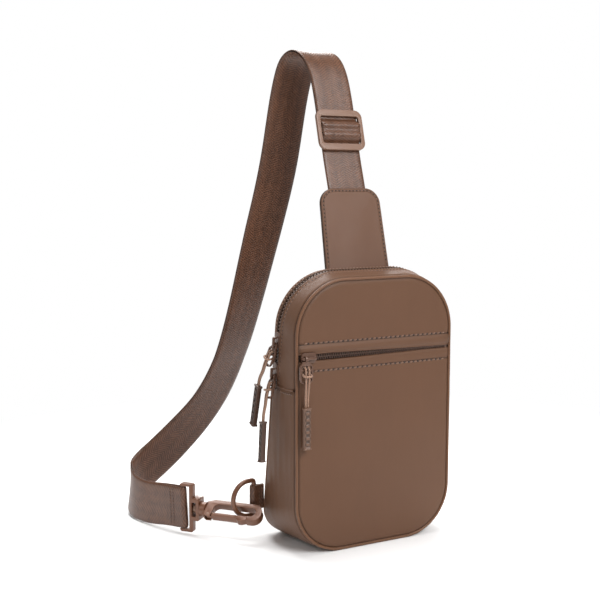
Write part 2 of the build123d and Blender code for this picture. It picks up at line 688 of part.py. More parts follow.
ring_plane = Plane(origin=(RING_BAR_X, RING_Y, RING_Z),
                   x_dir=(cos(RING_YAW), sin(RING_YAW), 0),
                   z_dir=(sin(RING_YAW), -cos(RING_YAW), 0))
RING_CORNER = 2.4
with BuildPart() as d_ring:
    with BuildLine(ring_plane) as ring_line:
        ThreePointArc((RING_BOW, RING_HALF_HEIGHT), (RING_BOW - RING_HALF_HEIGHT, 0),
                      (RING_BOW, -RING_HALF_HEIGHT))
        FilletPolyline((RING_BOW, -RING_HALF_HEIGHT), (0, -RING_HALF_HEIGHT),
                       (0, RING_HALF_HEIGHT), (RING_BOW, RING_HALF_HEIGHT),
                       radius=RING_CORNER)
    bow = ring_plane.from_local_coords((RING_BOW - RING_HALF_HEIGHT, 0, 0))
    with BuildSketch(Plane(origin=bow, z_dir=(0, 0, 1))):
        Circle(RING_WIRE / 2)
    sweep(path=ring_line.wire())
finish(d_ring, "d_ring")

# ---------------------------------------------------------------- swivel hook
AXIS = Vector(cos(HOOK_HEADING), sin(HOOK_HEADING), 0)
ACROSS = Vector(0, 0, 1).cross(AXIS) * -1      # horizontal, square to the hook, to its front
upright = Plane(origin=HOOK_BAR, x_dir=AXIS, z_dir=ACROSS)
rolled = Plane(origin=HOOK_BAR, x_dir=AXIS,
               z_dir=ACROSS * cos(HOOK_ROLL) + Vector(0, 0, sin(HOOK_ROLL)))
end_view = Plane(origin=HOOK_BAR, x_dir=rolled.y_dir, z_dir=AXIS)

# Distances along the hook run from the middle of its strap bar.
FRAME_BACK = -2.6        # back face of the frame's two ends
FRAME_CORNER = 2.0
FRAME_END = 2.5          # thickness of its top and bottom, beside the webbing
PLATE_START, PLATE_END = 6.6, 10.4
BLOCK_END, BLOCK_HALF, BLOCK_THICK, BLOCK_CORNER = 17.4, 10.0, 11.0, 1.2
HEAD_ROOM_AT, HEAD_ROOM_LENGTH, HEAD_ROOM_HEIGHT = 12.4, 4.4, 13.0
HEAD_START, HEAD_THICK, HEAD_RADIUS = 11.2, 2.6, 4.2
RIVET_SHANK, RIVET_END = 2.2, 22.0
COLLAR_RADIUS, COLLAR_END = 6.4, 23.0
HOOK_OUT = THROAT_HALF + JAW
OPENING_START, OPENING_END = 30.0, 70.5
GATE_PLAY = 0.4          # gate's tip to the nose
GATE_PIN_AT = (27.0, -6.4)
GATE_PIN_RADIUS = 1.1
GATE_TONGUE = 2.6        # thickness of the gate in the hook's slot
TONGUE_SLOT = (27.4, 2.0 - HOOK_OUT, 5.8, 6.4, 4.6)    # place, length, height, width
SPRING_AT, SPRING_RADIUS, SPRING_THICK = 1.45, 1.85, 0.7
GATE_OUT = -THROAT_HALF - CLEAR - GATE_THICK
THUMB_START, THUMB_END, THUMB_RISE = 57.0, 60.0, 1.7


def slab(plane, thick):
    """The plane at the lower face of a slab centred on it."""
    return plane.offset(-thick / 2)


with BuildPart() as hook_frame:
    with BuildSketch(slab(upright, HOOK_FRAME_THICK)):
        with Locations(((PLATE_END + FRAME_BACK) / 2, 0)):
            RectangleRounded(PLATE_END - FRAME_BACK, HOOK_FRAME_HEIGHT, FRAME_CORNER)
        with Locations(((PLATE_START + FRAME_BACK - 0.4) / 2, 0)):
            Rectangle(PLATE_START - FRAME_BACK + 0.4, HOOK_FRAME_HEIGHT - 2 * FRAME_END,
                      mode=Mode.SUBTRACT)
    extrude(amount=HOOK_FRAME_THICK)
    with BuildSketch(Plane.XY.offset(HOOK_BAR.Z - HOOK_FRAME_HEIGHT / 2 + 1)):
        with Locations((HOOK_BAR.X, HOOK_BAR.Y)):
            Circle(HOOK_BAR_RADIUS)
    extrude(amount=HOOK_FRAME_HEIGHT - 2)
    with BuildSketch(slab(upright, BLOCK_THICK)):
        with Locations(((PLATE_END + BLOCK_END - 1) / 2, 0)):
            RectangleRounded(BLOCK_END - PLATE_END + 1, 2 * BLOCK_HALF, BLOCK_CORNER)
    extrude(amount=BLOCK_THICK)
    with BuildSketch(slab(upright, BLOCK_THICK + 1)):
        with Locations((HEAD_ROOM_AT, 0)):
            RectangleRounded(HEAD_ROOM_LENGTH, HEAD_ROOM_HEIGHT, 1.0)
    extrude(amount=BLOCK_THICK + 1, mode=Mode.SUBTRACT)
    with BuildSketch(end_view.offset(HEAD_ROOM_AT)):
        Circle(RIVET_SHANK + CLEAR)
    extrude(amount=BLOCK_END, mode=Mode.SUBTRACT)
finish(hook_frame, "hook_frame")

with BuildPart() as swivel_rivet:
    with BuildSketch(end_view.offset(HEAD_START)):
        Circle(HEAD_RADIUS)
    extrude(amount=HEAD_THICK)
    with BuildSketch(end_view.offset(HEAD_START + HEAD_THICK / 2)):
        Circle(RIVET_SHANK)
    extrude(amount=RIVET_END - HEAD_START - HEAD_THICK / 2)
finish(swivel_rivet, "swivel_rivet")

with BuildPart() as hook_body:
    with BuildSketch(end_view.offset(BLOCK_END + CLEAR)):
        Circle(COLLAR_RADIUS)
    extrude(amount=COLLAR_END - BLOCK_END - CLEAR)
    with BuildSketch(slab(rolled, HOOK_THICK)):
        with BuildLine():
            FilletPolyline((COLLAR_END - 1, -HOOK_OUT + 2), (COLLAR_END + 2, -HOOK_OUT),
                           (NOSE_END, -HOOK_OUT), (NOSE_END, HOOK_OUT),
                           (COLLAR_END + 6, HOOK_OUT), (COLLAR_END - 1, HOOK_OUT - 3),
                           close=True, radius=[1.0, 1.0, 7.5, 9.2, 6.0, 1.0])
        make_face()
        with Locations(((OPENING_START + OPENING_END) / 2, 0)):
            SlotOverall(OPENING_END - OPENING_START, 2 * THROAT_HALF, mode=Mode.SUBTRACT)
        with Locations(((OPENING_START + GATE_TIP + GATE_PLAY) / 2, -HOOK_OUT)):
            Rectangle(GATE_TIP + GATE_PLAY - OPENING_START, 2 * HOOK_OUT - 4,
                      mode=Mode.SUBTRACT)
    extrude(amount=HOOK_THICK)
    slot_x, slot_y, slot_length, slot_height, slot_width = TONGUE_SLOT
    with BuildSketch(slab(rolled, slot_width)):
        with Locations((slot_x, slot_y)):
            Rectangle(slot_length, slot_height)
    extrude(amount=slot_width, mode=Mode.SUBTRACT)
    with BuildSketch(slab(rolled, HOOK_THICK + 1)):
        with Locations(GATE_PIN_AT):
            Circle(GATE_PIN_RADIUS)
    extrude(amount=HOOK_THICK + 1, mode=Mode.SUBTRACT)
    with BuildSketch(end_view.offset(BLOCK_END)):
        Circle(RIVET_SHANK)
    extrude(amount=RIVET_END - BLOCK_END, mode=Mode.SUBTRACT)
finish(hook_body, "hook_body")

with BuildPart() as gate_pin:
    with BuildSketch(slab(rolled, HOOK_THICK)):
        with Locations(GATE_PIN_AT):
            Circle(GATE_PIN_RADIUS)
    extrude(amount=HOOK_THICK)
finish(gate_pin, "gate_pin")

with BuildPart() as gate_spring:
    with BuildSketch(rolled.offset(SPRING_AT)):
        with Locations(GATE_PIN_AT):
            Circle(SPRING_RADIUS)
            Circle(GATE_PIN_RADIUS + 0.1, mode=Mode.SUBTRACT)
    extrude(amount=SPRING_THICK)
finish(gate_spring, "gate_spring")

with BuildPart() as gate:
    with BuildSketch(slab(rolled, GATE_TONGUE)):
        with Locations(GATE_PIN_AT):
            Circle(1.9)
        with Locations((29.6, GATE_PIN_AT[1] - 0.2)):
            Rectangle(5.2, 3.0)
        with Locations(GATE_PIN_AT):
            Circle(GATE_PIN_RADIUS + 0.05, mode=Mode.SUBTRACT)
    extrude(amount=GATE_TONGUE)
    with BuildSketch(slab(rolled, HOOK_THICK - 2 * CLEAR)):
        with BuildLine():
            FilletPolyline((OPENING_START + 1, GATE_OUT), (THUMB_START - 2, GATE_OUT),
                           (THUMB_START, GATE_OUT - THUMB_RISE),
                           (THUMB_END, GATE_OUT - THUMB_RISE), (GATE_TIP, GATE_OUT),
                           (GATE_TIP, GATE_OUT + GATE_THICK),
                           (OPENING_START + 1, GATE_OUT + GATE_THICK),
                           close=True, radius=0.5)
        make_face()
    extrude(amount=HOOK_THICK - 2 * CLEAR)
finish(gate, "gate")
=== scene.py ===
"""Looks of the sling bag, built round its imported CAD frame.

Lengths are millimetres in the frame's own axes, and become metres as each mesh is made:
+X to the right along the front panel, +Y towards the back panel, +Z up from the floor.
"""

import json
import math

import bmesh
import bpy
import numpy as np
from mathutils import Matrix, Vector, noise

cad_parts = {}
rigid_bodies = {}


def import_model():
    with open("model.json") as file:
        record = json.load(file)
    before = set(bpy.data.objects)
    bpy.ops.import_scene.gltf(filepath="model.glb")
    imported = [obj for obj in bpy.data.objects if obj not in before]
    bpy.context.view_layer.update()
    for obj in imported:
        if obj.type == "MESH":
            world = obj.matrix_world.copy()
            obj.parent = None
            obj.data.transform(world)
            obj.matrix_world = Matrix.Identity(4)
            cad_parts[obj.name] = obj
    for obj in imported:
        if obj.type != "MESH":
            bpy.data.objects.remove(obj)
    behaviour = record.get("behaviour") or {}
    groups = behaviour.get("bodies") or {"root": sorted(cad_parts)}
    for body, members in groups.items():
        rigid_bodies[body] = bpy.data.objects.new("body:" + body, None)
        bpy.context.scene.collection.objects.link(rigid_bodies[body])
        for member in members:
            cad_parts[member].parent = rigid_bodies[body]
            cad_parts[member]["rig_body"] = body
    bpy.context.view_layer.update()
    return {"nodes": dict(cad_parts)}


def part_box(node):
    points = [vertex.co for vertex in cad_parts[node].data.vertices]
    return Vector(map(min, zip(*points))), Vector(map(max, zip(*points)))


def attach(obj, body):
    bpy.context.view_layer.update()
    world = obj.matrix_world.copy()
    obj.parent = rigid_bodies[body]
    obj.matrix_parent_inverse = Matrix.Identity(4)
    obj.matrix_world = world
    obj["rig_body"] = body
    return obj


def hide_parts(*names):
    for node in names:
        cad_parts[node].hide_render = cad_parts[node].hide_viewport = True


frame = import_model()
MM = 0.001

# ---- the CAD's driving sizes
WIDTH = 156.0
FRONT_HEIGHT = 235.0
BACK_HEIGHT = 240.0
TOP_RADIUS = 48.0
FRONT_LOW_RADIUS = 45.0
BACK_LOW_RADIUS = 28.0
FRONT_Y = -34.0
BACK_FOOT_Y = 34.0
LEAN = math.radians(8.4)
SEAM_DIA = 2.8
JOIN_Z = 142.0
CHAIN_TO_BACK = 10.0
CHAIN_GAP = 5.2
POCKET_ZIP_Z = 170.0
WELT_TOP_Z = 181.0
LOWER_STITCH_Z = 158.4
WEB_WIDTH = 38.0
WEB_THICK = 1.5
PANEL_EDGE = SEAM_DIA - 0.6     # the panels reach this far inside the outline

X, Y, Z = np.eye(3)
UP_BACK = np.array([0, -math.sin(LEAN), math.cos(LEAN)])
OUT_BACK = np.array([0, math.cos(LEAN), math.sin(LEAN)])
BACK_LENGTH = BACK_HEIGHT / math.cos(LEAN)
# Each plane has a foot, a way up and a way out.
FRONT_PLANE = FRONT_Y * Y, Z, -Y
BACK_PLANE = BACK_FOOT_Y * Y, UP_BACK, OUT_BACK
BAG_MIDDLE = 120.0 * Z


def unit(v):
    v = np.asarray(v, float)
    return v / np.linalg.norm(v, axis=-1, keepdims=True)


def smooth(t):
    t = np.clip(t, 0, 1)
    return t * t * (3 - 2 * t)


def bump(t):
    """1 at 0, falling smoothly to 0 at 1 on either side."""
    return 1 - smooth(np.abs(t))


def ripple(points, size, seed):
    """Smooth noise at each point, about -1 to 1, with features of that size."""
    shape = points.shape[:-1]
    flat = points.reshape(-1, 3) / size + seed
    return np.array([noise.noise(Vector(p)) for p in flat]).reshape(shape)


def link_object(name, data):
    made = bpy.data.objects.new(name, data)
    bpy.context.scene.collection.objects.link(made)
    return made


class Nodes:
    """Short calls for making and linking a tree's nodes."""

    def __init__(self, tree):
        self.tree = tree

    def feed(self, node, sources):
        """Give a node's sockets their values, or link them to other nodes' outputs."""
        for socket, source in sources.items():
            if isinstance(source, bpy.types.NodeSocket):
                self.tree.links.new(source, node.inputs[socket])
            else:
                node.inputs[socket].default_value = source

    def node(self, kind, sources=(), **settings):
        made = self.tree.nodes.new("ShaderNode" + kind)
        for setting, value in settings.items():
            setattr(made, setting, value)
        self.feed(made, dict(sources))
        return made


# ---- camera and light
CAMERA = Vector((-0.4515, -0.7513, 0.3110))
YAW = math.radians(27.74)
PITCH = math.radians(-6.51)


def make_camera():
    data = bpy.data.cameras.new("camera")
    data.lens = 60
    data.sensor_width = 36
    data.clip_start = 0.01
    camera = link_object("camera", data)
    camera.location = CAMERA
    camera.rotation_euler = (math.radians(90) + PITCH, 0, -YAW)
    bpy.context.scene.camera = camera


def area_light(name, place, target, size, power):
    data = bpy.data.lights.new(name, "AREA")
    data.shape = "DISK"
    data.size = size
    data.energy = power
    light = link_object(name, data)
    light.visible_camera = False
    light.location = place
    light.rotation_euler = (Vector(target) - Vector(place)).to_track_quat("-Z", "Y").to_euler()


def make_studio():
    """White all round to look at, and a dimmer room to be lit by."""
    world = bpy.data.worlds.new("studio")
    world.use_nodes = True
    studio = Nodes(world.node_tree)
    room = studio.tree.nodes["Background"]
    studio.feed(room, {"Color": (1, 0.98, 0.96, 1), "Strength": 0.28})
    backdrop = studio.node("Background", {"Color": (1, 1, 1, 1)})
    seen = studio.node("LightPath").outputs["Is Camera Ray"]
    mix = studio.node("MixShader", {"Fac": seen, 1: room.outputs[0], 2: backdrop.outputs[0]})
    studio.feed(studio.tree.nodes["World Output"], {"Surface": mix.outputs[0]})
    bpy.context.scene.world = world
    bpy.context.scene.view_settings.view_transform = "Standard"
    area_light("key", (0.25, -1.1, 1.0), (0, 0, 0.14), 0.8, 18.5)
    area_light("back", (0.15, 0.9, 1.1), (0, 0, 0.22), 0.9, 18)
    area_light("left", (-1.2, -0.1, 0.75), (0, 0, 0.2), 0.6, 2.5)
    area_light("top", (-0.05, 0.1, 1.6), (0, 0.05, 0.3), 0.7, 15)
    area_light("rim", (0.55, 1.15, 0.42), (0, 0, 0.23), 0.7, 9)


make_camera()
make_studio()


# ---- materials
class Shader(Nodes):
    """A Principled material with short calls for the nodes that feed it."""

    def __init__(self, name, roughness, metallic=0.0, **sockets):
        self.material = bpy.data.materials.new(name)
        self.material.use_nodes = True
        super().__init__(self.material.node_tree)
        self.main = self.tree.nodes["Principled BSDF"]
        self.feed(self.main, {"Roughness": roughness, "Metallic": metallic})
        self.feed(self.main, {k.replace("_", " "): v for k, v in sockets.items()})
        self.place = self.node("TexCoord").outputs["Object"]
        self.normal = None

    def math(self, operation, a, b=0.0):
        return self.node("Math", {0: a, 1: b}, operation=operation).outputs[0]

    def times(self, a, b):
        return self.math("MULTIPLY", a, b)

    def plus(self, a, b):
        return self.math("ADD", a, b)

    def minus(self, a, b):
        return self.math("SUBTRACT", a, b)

    def noise(self, size, detail, stretch=None):
        place = self.place
        if stretch:
            place = self.node("Mapping", {"Scale": stretch, "Vector": place}).outputs["Vector"]
        return self.node("TexNoise", {"Scale": 1.0 / size, "Detail": detail,
                                      "Vector": place}).outputs["Fac"]

    def around(self, value, amount):
        """A factor near 1 that moves with value, which runs from 0 to 1."""
        return self.plus(self.times(value, 2 * amount), 1 - amount)

    def attribute(self, name):
        return self.node("Attribute", attribute_name=name).outputs["Fac"]

    def split(self, vector):
        return self.node("SeparateXYZ", {0: vector}).outputs

    def colour(self, base, *factors):
        """The base colour, times every factor."""
        factor = factors[0]
        for other in factors[1:]:
            factor = self.times(factor, other)
        tinted = self.node("VectorMath", {0: base, "Scale": factor}, operation="SCALE")
        self.feed(self.main, {"Base Color": tinted.outputs[0]})

    def relief(self, height, depth, strength):
        """Bump of that depth in metres, on top of any before it."""
        made = self.node("Bump", {"Distance": depth, "Strength": strength, "Height": height})
        if self.normal:
            self.feed(made, {"Normal": self.normal})
        self.normal = made.outputs["Normal"]
        self.feed(self.main, {"Normal": self.normal})


def wave(shader, value, pitch):
    """0 to 1 and back once in each pitch along value."""
    turned = shader.times(value, 2 * math.pi / pitch)
    return shader.around(shader.math("SINE", turned), 0.25)


def woven(shader, pitch):
    """A plain weave, with its threads up and round the bag."""
    x, y, z = shader.split(shader.place)
    return shader.times(wave(shader, shader.plus(x, y), pitch), wave(shader, z, pitch))


def coated_fabric(name, base, roughness=0.5):
    """Fine plain weave under a smooth coating, with painted shade darkening it down in its seams.
    """
    s = Shader(name, roughness, Sheen_Weight=0.03, Sheen_Roughness=0.4,
               Specular_IOR_Level=0.29)
    weave = woven(s, 0.00062)
    cloud = s.noise(0.045, 3)
    streak = s.noise(0.006, 2, stretch=(1, 1, 0.22))
    grain = s.noise(0.0007, 2)
    # Painted shade: the seam attribute darkens the colour by up to 0.8 in seams and grooves.
    painted_seam_shade = s.minus(1.0, s.times(s.attribute("seam"), 0.8))
    s.colour(base, s.around(cloud, 0.07), s.around(streak, 0.035), s.around(grain, 0.05), painted_seam_shade)
    s.relief(s.noise(0.03, 2), 0.0006, 0.35)
    s.relief(weave, 0.00006, 0.5)
    s.relief(grain, 0.00008, 0.35)
    s.feed(s.main, {"Roughness": s.plus(roughness - 0.06, s.times(cloud, 0.12))})
    return s.material


def webbing_fabric(name, base, columns=4.0):
    """Herringbone webbing: slanted ribs that turn back at each column.  The piece's
    uv map is millimetres across and along it."""
    s = Shader(name, 0.36, Sheen_Weight=0.04, Sheen_Roughness=0.3, Specular_IOR_Level=0.45,
               Anisotropic=0.3)
    across, along, _ = s.split(s.node("TexCoord").outputs["UV"])
    column = WEB_WIDTH / columns
    fold = s.math("PINGPONG", across, column)
    slanted = s.plus(along, s.times(fold, 0.55))
    rib = s.math("FRACT", s.math("DIVIDE", slanted, 2.3))
    swing = s.math("ABSOLUTE", s.minus(s.times(rib, 2.0), 1.0))
    ridge = s.minus(1.0, swing)
    thread = s.math("ABSOLUTE", s.math("SINE", s.times(across, math.pi / 0.95)))
    height = s.plus(s.times(ridge, 0.75), s.times(thread, 0.25))
    seam = s.math("PINGPONG", across, column / 2)
    streak = s.noise(0.0018, 2, stretch=(1, 1, 0.15))
    cloud = s.noise(0.03, 2)
    # The patch noise brightens the colour in patches as painted sheen; the fleck noise is
    # thread-level tone with painted glints, and also drives roughness.
    patch = s.noise(0.008, 3)
    fleck_and_glint = s.noise(0.0013, 1)
    s.colour(base, s.around(ridge, 0.38), s.around(thread, 0.2), s.around(streak, 0.32),
             s.around(cloud, 0.2), s.around(patch, 0.3),
             s.around(s.math("DIVIDE", seam, column), 0.2), s.around(fleck_and_glint, 0.4))
    s.relief(height, 0.0002, 0.6)
    s.feed(s.main, {"Roughness": s.plus(0.26, s.times(fleck_and_glint, 0.22))})
    return s.material


def lacquered_metal(name, base):
    """Satin lacquer on a casting: slight orange peel, rubbed lighter in patches."""
    s = Shader(name, 0.36, 0.25, Coat_Weight=0.2, Coat_Roughness=0.22, Specular_IOR_Level=0.5)
    s.colour(base, s.around(s.noise(0.006, 3), 0.12), s.around(s.noise(0.0008, 2), 0.06))
    s.relief(s.noise(0.0022, 2), 0.0001, 0.35)
    s.relief(s.noise(0.0005, 1), 0.00004, 0.4)
    return s.material


def moulded_plastic(name, base, roughness=0.42):
    """Moulded plastic with a fine spark-eroded grain, and painted shade down in its pressed
    lines.
    """
    s = Shader(name, roughness, Specular_IOR_Level=0.5)
    # Painted shade: darker by up to 0.6 where the pressed attribute marks the grip's pressed
    # lines.
    pressed = s.minus(1.0, s.times(s.attribute("pressed"), 0.6))
    s.colour(base, s.around(s.noise(0.009, 3), 0.08), s.around(s.noise(0.0006, 2), 0.07), pressed)
    s.relief(s.noise(0.0006, 2), 0.00008, 0.5)
    return s.material


def braided_cord(name, base):
    s = Shader(name, 0.62, Sheen_Weight=0.3)
    x, y, z = s.split(s.place)
    left = wave(s, s.plus(s.times(x, 1.4), z), 0.0011)
    right = wave(s, s.minus(s.times(y, 1.4), z), 0.0011)
    braid = s.math("MAXIMUM", left, right)
    s.colour(base, s.around(braid, 0.3), s.around(s.noise(0.0005, 2), 0.12))
    s.relief(braid, 0.0002, 0.8)
    return s.material


def sewing_thread(name, base):
    s = Shader(name, 0.55, Sheen_Weight=0.08)
    twist = s.noise(0.00035, 1)
    s.colour(base, s.around(twist, 0.3))
    s.relief(twist, 0.0001, 0.6)
    return s.material


def plain_lining(name, base):
    s = Shader(name, 0.75)
    weave = woven(s, 0.0005)
    s.colour(base, s.around(weave, 0.12), s.around(s.noise(0.02, 2), 0.08))
    s.relief(weave, 0.00008, 0.6)
    return s.material


SHELL = (0.108, 0.050, 0.0255)
shell = coated_fabric("shell_fabric", SHELL)
# The rolled seam is the shell fabric painted 1.25 times lighter, a painted highlight along its
# ridge.
rolled = coated_fabric("highlit_rolled_seam", tuple(1.25 * c for c in SHELL), 0.42)
patch_skin = coated_fabric("patch_fabric", (0.118, 0.057, 0.033), 0.46)
webbing = webbing_fabric("strap_web", (0.096, 0.041, 0.0215))
ring_webbing = webbing_fabric("ring_web", (0.105, 0.047, 0.026), 6.0)
buckle = moulded_plastic("buckle_plastic", (0.160, 0.080, 0.047))
hook_finish = lacquered_metal("hook_metal", (0.128, 0.050, 0.024))
zip_finish = lacquered_metal("zip_metal", (0.105, 0.050, 0.030))
# Darker than the main zip's coil: painted shade under the pocket's welt.
coil = moulded_plastic("zip_teeth", (0.060, 0.029, 0.018), 0.32)
main_coil = moulded_plastic("main_zip_teeth", (0.110, 0.056, 0.035), 0.32)
tape = plain_lining("zip_tape", (0.022, 0.011, 0.007))
cord_skin = braided_cord("pull_cord", (0.200, 0.108, 0.066))
grip_skin = moulded_plastic("pull_grip", (0.058, 0.027, 0.016), 0.42)
pocket_grip_skin = moulded_plastic("pocket_grip", (0.125, 0.062, 0.036), 0.42)
thread = sewing_thread("sewing_thread", (0.180, 0.096, 0.060))
dark_thread = sewing_thread("seam_thread", (0.070, 0.037, 0.025))
# Dark capsules between stitches: painted shade in the stitch holes.
hole_shade_skin = sewing_thread("stitch_hole_shade", (0.022, 0.009, 0.005))
lining = plain_lining("lining_fabric", (0.040, 0.022, 0.014))
steel = lacquered_metal("pin_steel", (0.170, 0.092, 0.058))


# ---- mesh helpers
def add_piece(name, points, faces, material, body, slot, *nodes):
    """A mesh from points in millimetres, riding on a body and standing for CAD nodes."""
    mesh = bpy.data.meshes.new(name)
    mesh.from_pydata((np.asarray(points, float).reshape(-1, 3) * MM).tolist(), [], faces)
    mesh.materials.append(material)
    mesh.validate()
    mesh.shade_smooth()
    piece = link_object(name, mesh)
    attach(piece, body)
    if nodes:
        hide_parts(*nodes)
    return piece


def grid_faces(rows, columns, wrap=False):
    """Quads of a grid of points; wrap joins the last column to the first."""
    faces = []
    for row in range(0, (rows - 1) * columns, columns):
        for j in range(columns if wrap else columns - 1):
            k = (j + 1) % columns
            faces.append((row + j, row + k, row + columns + k, row + columns + j))
    return faces


def capped_faces(rows, columns):
    """Quads of a tube of points, and a face across each end."""
    last = (rows - 1) * columns
    return grid_faces(rows, columns, True) + [tuple(range(columns))[::-1],
                                              tuple(range(last, last + columns))]


def set_attribute(piece, name, values):
    attribute = piece.data.attributes.new(name, "FLOAT", "POINT")
    attribute.data.foreach_set("value", np.asarray(values, np.float32).ravel())


def face_outwards(piece, middle):
    """Turn the faces so that they look away from a middle point, in millimetres."""
    mesh = piece.data
    inner = Vector(middle) * MM
    total = sum((f.center - inner).dot(f.normal) * f.area for f in mesh.polygons)
    if total < 0:
        mesh.flip_normals()


def sheet_piece(name, points, seam, *nodes, material=shell, slot="shell_fabric",
                middle=BAG_MIDDLE):
    """A sheet from a grid of points, with how deep in a seam each one is, which the fabric
    materials turn into painted shade.
    """
    piece = add_piece(name, points, grid_faces(*points.shape[:2]), material, "bag", slot, *nodes)
    set_attribute(piece, "seam", seam)
    face_outwards(piece, middle)
    return piece


def tube_piece(name, centres, radius, material, slot, *nodes, sides=10, closed=True):
    """A round tube along a row of points."""
    if closed:
        heading = unit(np.roll(centres, -1, 0) - np.roll(centres, 1, 0))
    else:
        heading = unit(np.gradient(centres, axis=0))
    side = unit(np.cross(heading, Y + 0.01 * X))
    top = np.cross(side, heading)
    turn = np.linspace(0, 2 * math.pi, sides, endpoint=False)[:, None]
    ring = np.cos(turn) * side[:, None] + np.sin(turn) * top[:, None]
    points = centres[:, None] + radius * ring
    if closed:
        points = np.concatenate([points, points[:1]])
    add_piece(name, points, grid_faces(len(points), sides, True), material, "bag", slot, *nodes)


def repeat_piece(name, template, places, axes, scale, material, slot, *nodes):
    """A copy of a small template at each place, along the three axes given there."""
    points, faces = template
    copies = places[:, None] + points * np.array(scale) @ np.stack(axes, 1)
    quads = [tuple(base * len(points) + i for i in face)
             for base in range(len(places)) for face in faces]
    add_piece(name, copies, quads, material, "bag", slot, *nodes)


def capsule(sides=6, rings=5):
    """A unit capsule along x: half length 1, radius 1 at its middle."""
    t = np.linspace(-1, 1, rings)[:, None]
    radius = np.sqrt(np.maximum(0.02, 1 - t ** 4))
    turn = np.linspace(0, 2 * math.pi, sides, endpoint=False)
    points = np.broadcast_arrays(t, radius * np.cos(turn), radius * np.sin(turn))
    return np.stack(points, -1).reshape(-1, 3), capped_faces(rings, sides)


CAPSULE = capsule()


def run_of(points):
    """How far along a row of points each one is."""
    return np.concatenate([[0], np.cumsum(np.linalg.norm(np.diff(points, axis=0), axis=1))])


def read_at(marks, run, values):
    """The columns of values, which are given at run, at other marks."""
    return np.stack([np.interp(marks, run, column) for column in values.T], 1)


def resample(points, normals, pitch, margin):
    """Places, headings and normals at an even pitch along a row of points."""
    run = run_of(points)
    length = run[-1] - 2 * margin
    count = max(1, int(length / pitch))
    marks = margin + length * (np.arange(count) + 0.5) / count
    step = 0.3      # to each side, to read the heading
    heading = unit(read_at(marks + step, run, points) - read_at(marks - step, run, points))
    normals = np.broadcast_to(normals, points.shape)
    return read_at(marks, run, points), heading, unit(read_at(marks, run, normals))


def stitch_row(name, points, normals, pitch=3.7, length=2.7, radius=0.55, material=thread,
               margin=1.5, hole=(0.8, 0.95, 0.42), slant=0.22):
    """A row of slanted stitches, with a hole of that half size between one and the next, drawn as
    a dark capsule of painted shade.
    """
    place, heading, normal = resample(points, normals, pitch, margin)
    heading = unit(heading + slant * np.cross(normal, heading))
    side = np.cross(normal, heading)
    repeat_piece(name, CAPSULE, place + normal * 0.12, (heading, side, normal),
                 (length / 2, radius, radius), material, "seam_fabric")
    if hole:
        between = (place[1:] + place[:-1]) / 2 + normal[1:] * 0.02
        repeat_piece(name + "_holes", CAPSULE, between, (heading[1:], side[1:], normal[1:]), hole,
                     hole_shade_skin, "seam_fabric")


SMALL_STITCH = dict(pitch=2.6, length=1.9, margin=0.5, hole=None)


def relax(row, times):
    """Round off a row of points, all but its two ends."""
    for _ in range(times):
        row[1:-1] = (row[:-2] + 2 * row[1:-1] + row[2:]) / 4
    return row


# ---- cords of the zip pulls
LEFT = Vector((-1, 0, 0))
FORWARD = Vector((0, -1, 0))
CHAIN_FOOT = Vector((-WIDTH / 2, BACK_FOOT_Y - CHAIN_TO_BACK, 0))
CORD_DIA = 1.8
GRIP_TOP, GRIP_OUT = -40.0, 0.6      # of the grip's top, from the eye
# From the grip up over the tab's bar and round both legs: half the gap between the legs,
# then up the pull and out of it.
CORD_LEG = [(1.1, -27.5, 1.5), (1.35, -20, 2.4), (1.5, -13, 2.3), (1.5, -6.8, 2.25),
            (1.5, -6.7, -2.3), (2.1, -11, -2.4), (3.5, -12.9, 0.2), (3.5, -14.2, 4.6)]


def main_eye(slider_z):
    """The eye of a main slider's pull, just off the chain."""
    return CHAIN_FOOT + Vector(UP_BACK) * (slider_z / math.cos(LEAN) - 3.3) + LEFT * 3.1


PULLS = {
    "upper": dict(eye=main_eye(181.5), hang=(-9.3, 13.3, -37.2), out=LEFT, way=(-0.10, 0.10, -1),
                  skin=grip_skin, slot="pull_grip"),
    "lower": dict(eye=main_eye(154.5), hang=(-12.1, -5.7, -38.2), out=LEFT, way=(-0.05, 0, -1),
                  skin=grip_skin, slot="pull_grip"),
    "pocket": dict(eye=Vector((-70.8, FRONT_Y - 4.45, POCKET_ZIP_Z)), hang=(0, -0.3, -40),
                   out=FORWARD, way=(0, 0, -1), skin=pocket_grip_skin, slot="pocket_grip"),
}


def pull_axes(pull):
    """Eye, and the pull's own across, up and outward directions."""
    up = -Vector(pull["hang"]).normalized()
    across = up.cross(pull["out"]).normalized()
    return pull["eye"], across, up, across.cross(up)


def cord_points(pull):
    eye, across, up, out = pull_axes(pull)
    way = Vector(pull["way"]).normalized()
    top = up * GRIP_TOP + out * GRIP_OUT
    beside = (across - way * across.dot(way)) * 0.95
    foot = [eye + top, eye + top - way * 6]
    leg = [(across * x, eye + up * y + out * z) for x, y, z in CORD_LEG]
    left = [p - beside for p in foot] + [p - x for x, p in leg]
    right = [p + beside for p in foot] + [p + x for x, p in leg]
    return left + right[::-1]


def make_cord(name, pull):
    curve = bpy.data.curves.new(f"{name}_cord", "CURVE")
    curve.dimensions = "3D"
    curve.bevel_depth = CORD_DIA / 2 * MM
    curve.bevel_resolution = 4
    curve.resolution_u = 12
    curve.use_fill_caps = True
    route = cord_points(pull)
    line = curve.splines.new("NURBS")
    line.points.add(len(route) - 1)
    for point, place in zip(line.points, route):
        point.co = (*(place * MM), 1)
    line.order_u = 3
    line.use_endpoint_u = True
    cord = link_object(f"{name}_cord", curve)
    curve.materials.append(cord_skin)
    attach(cord, f"{name}_grip")
    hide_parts(f"{name}_pull_cord")
    return cord, route


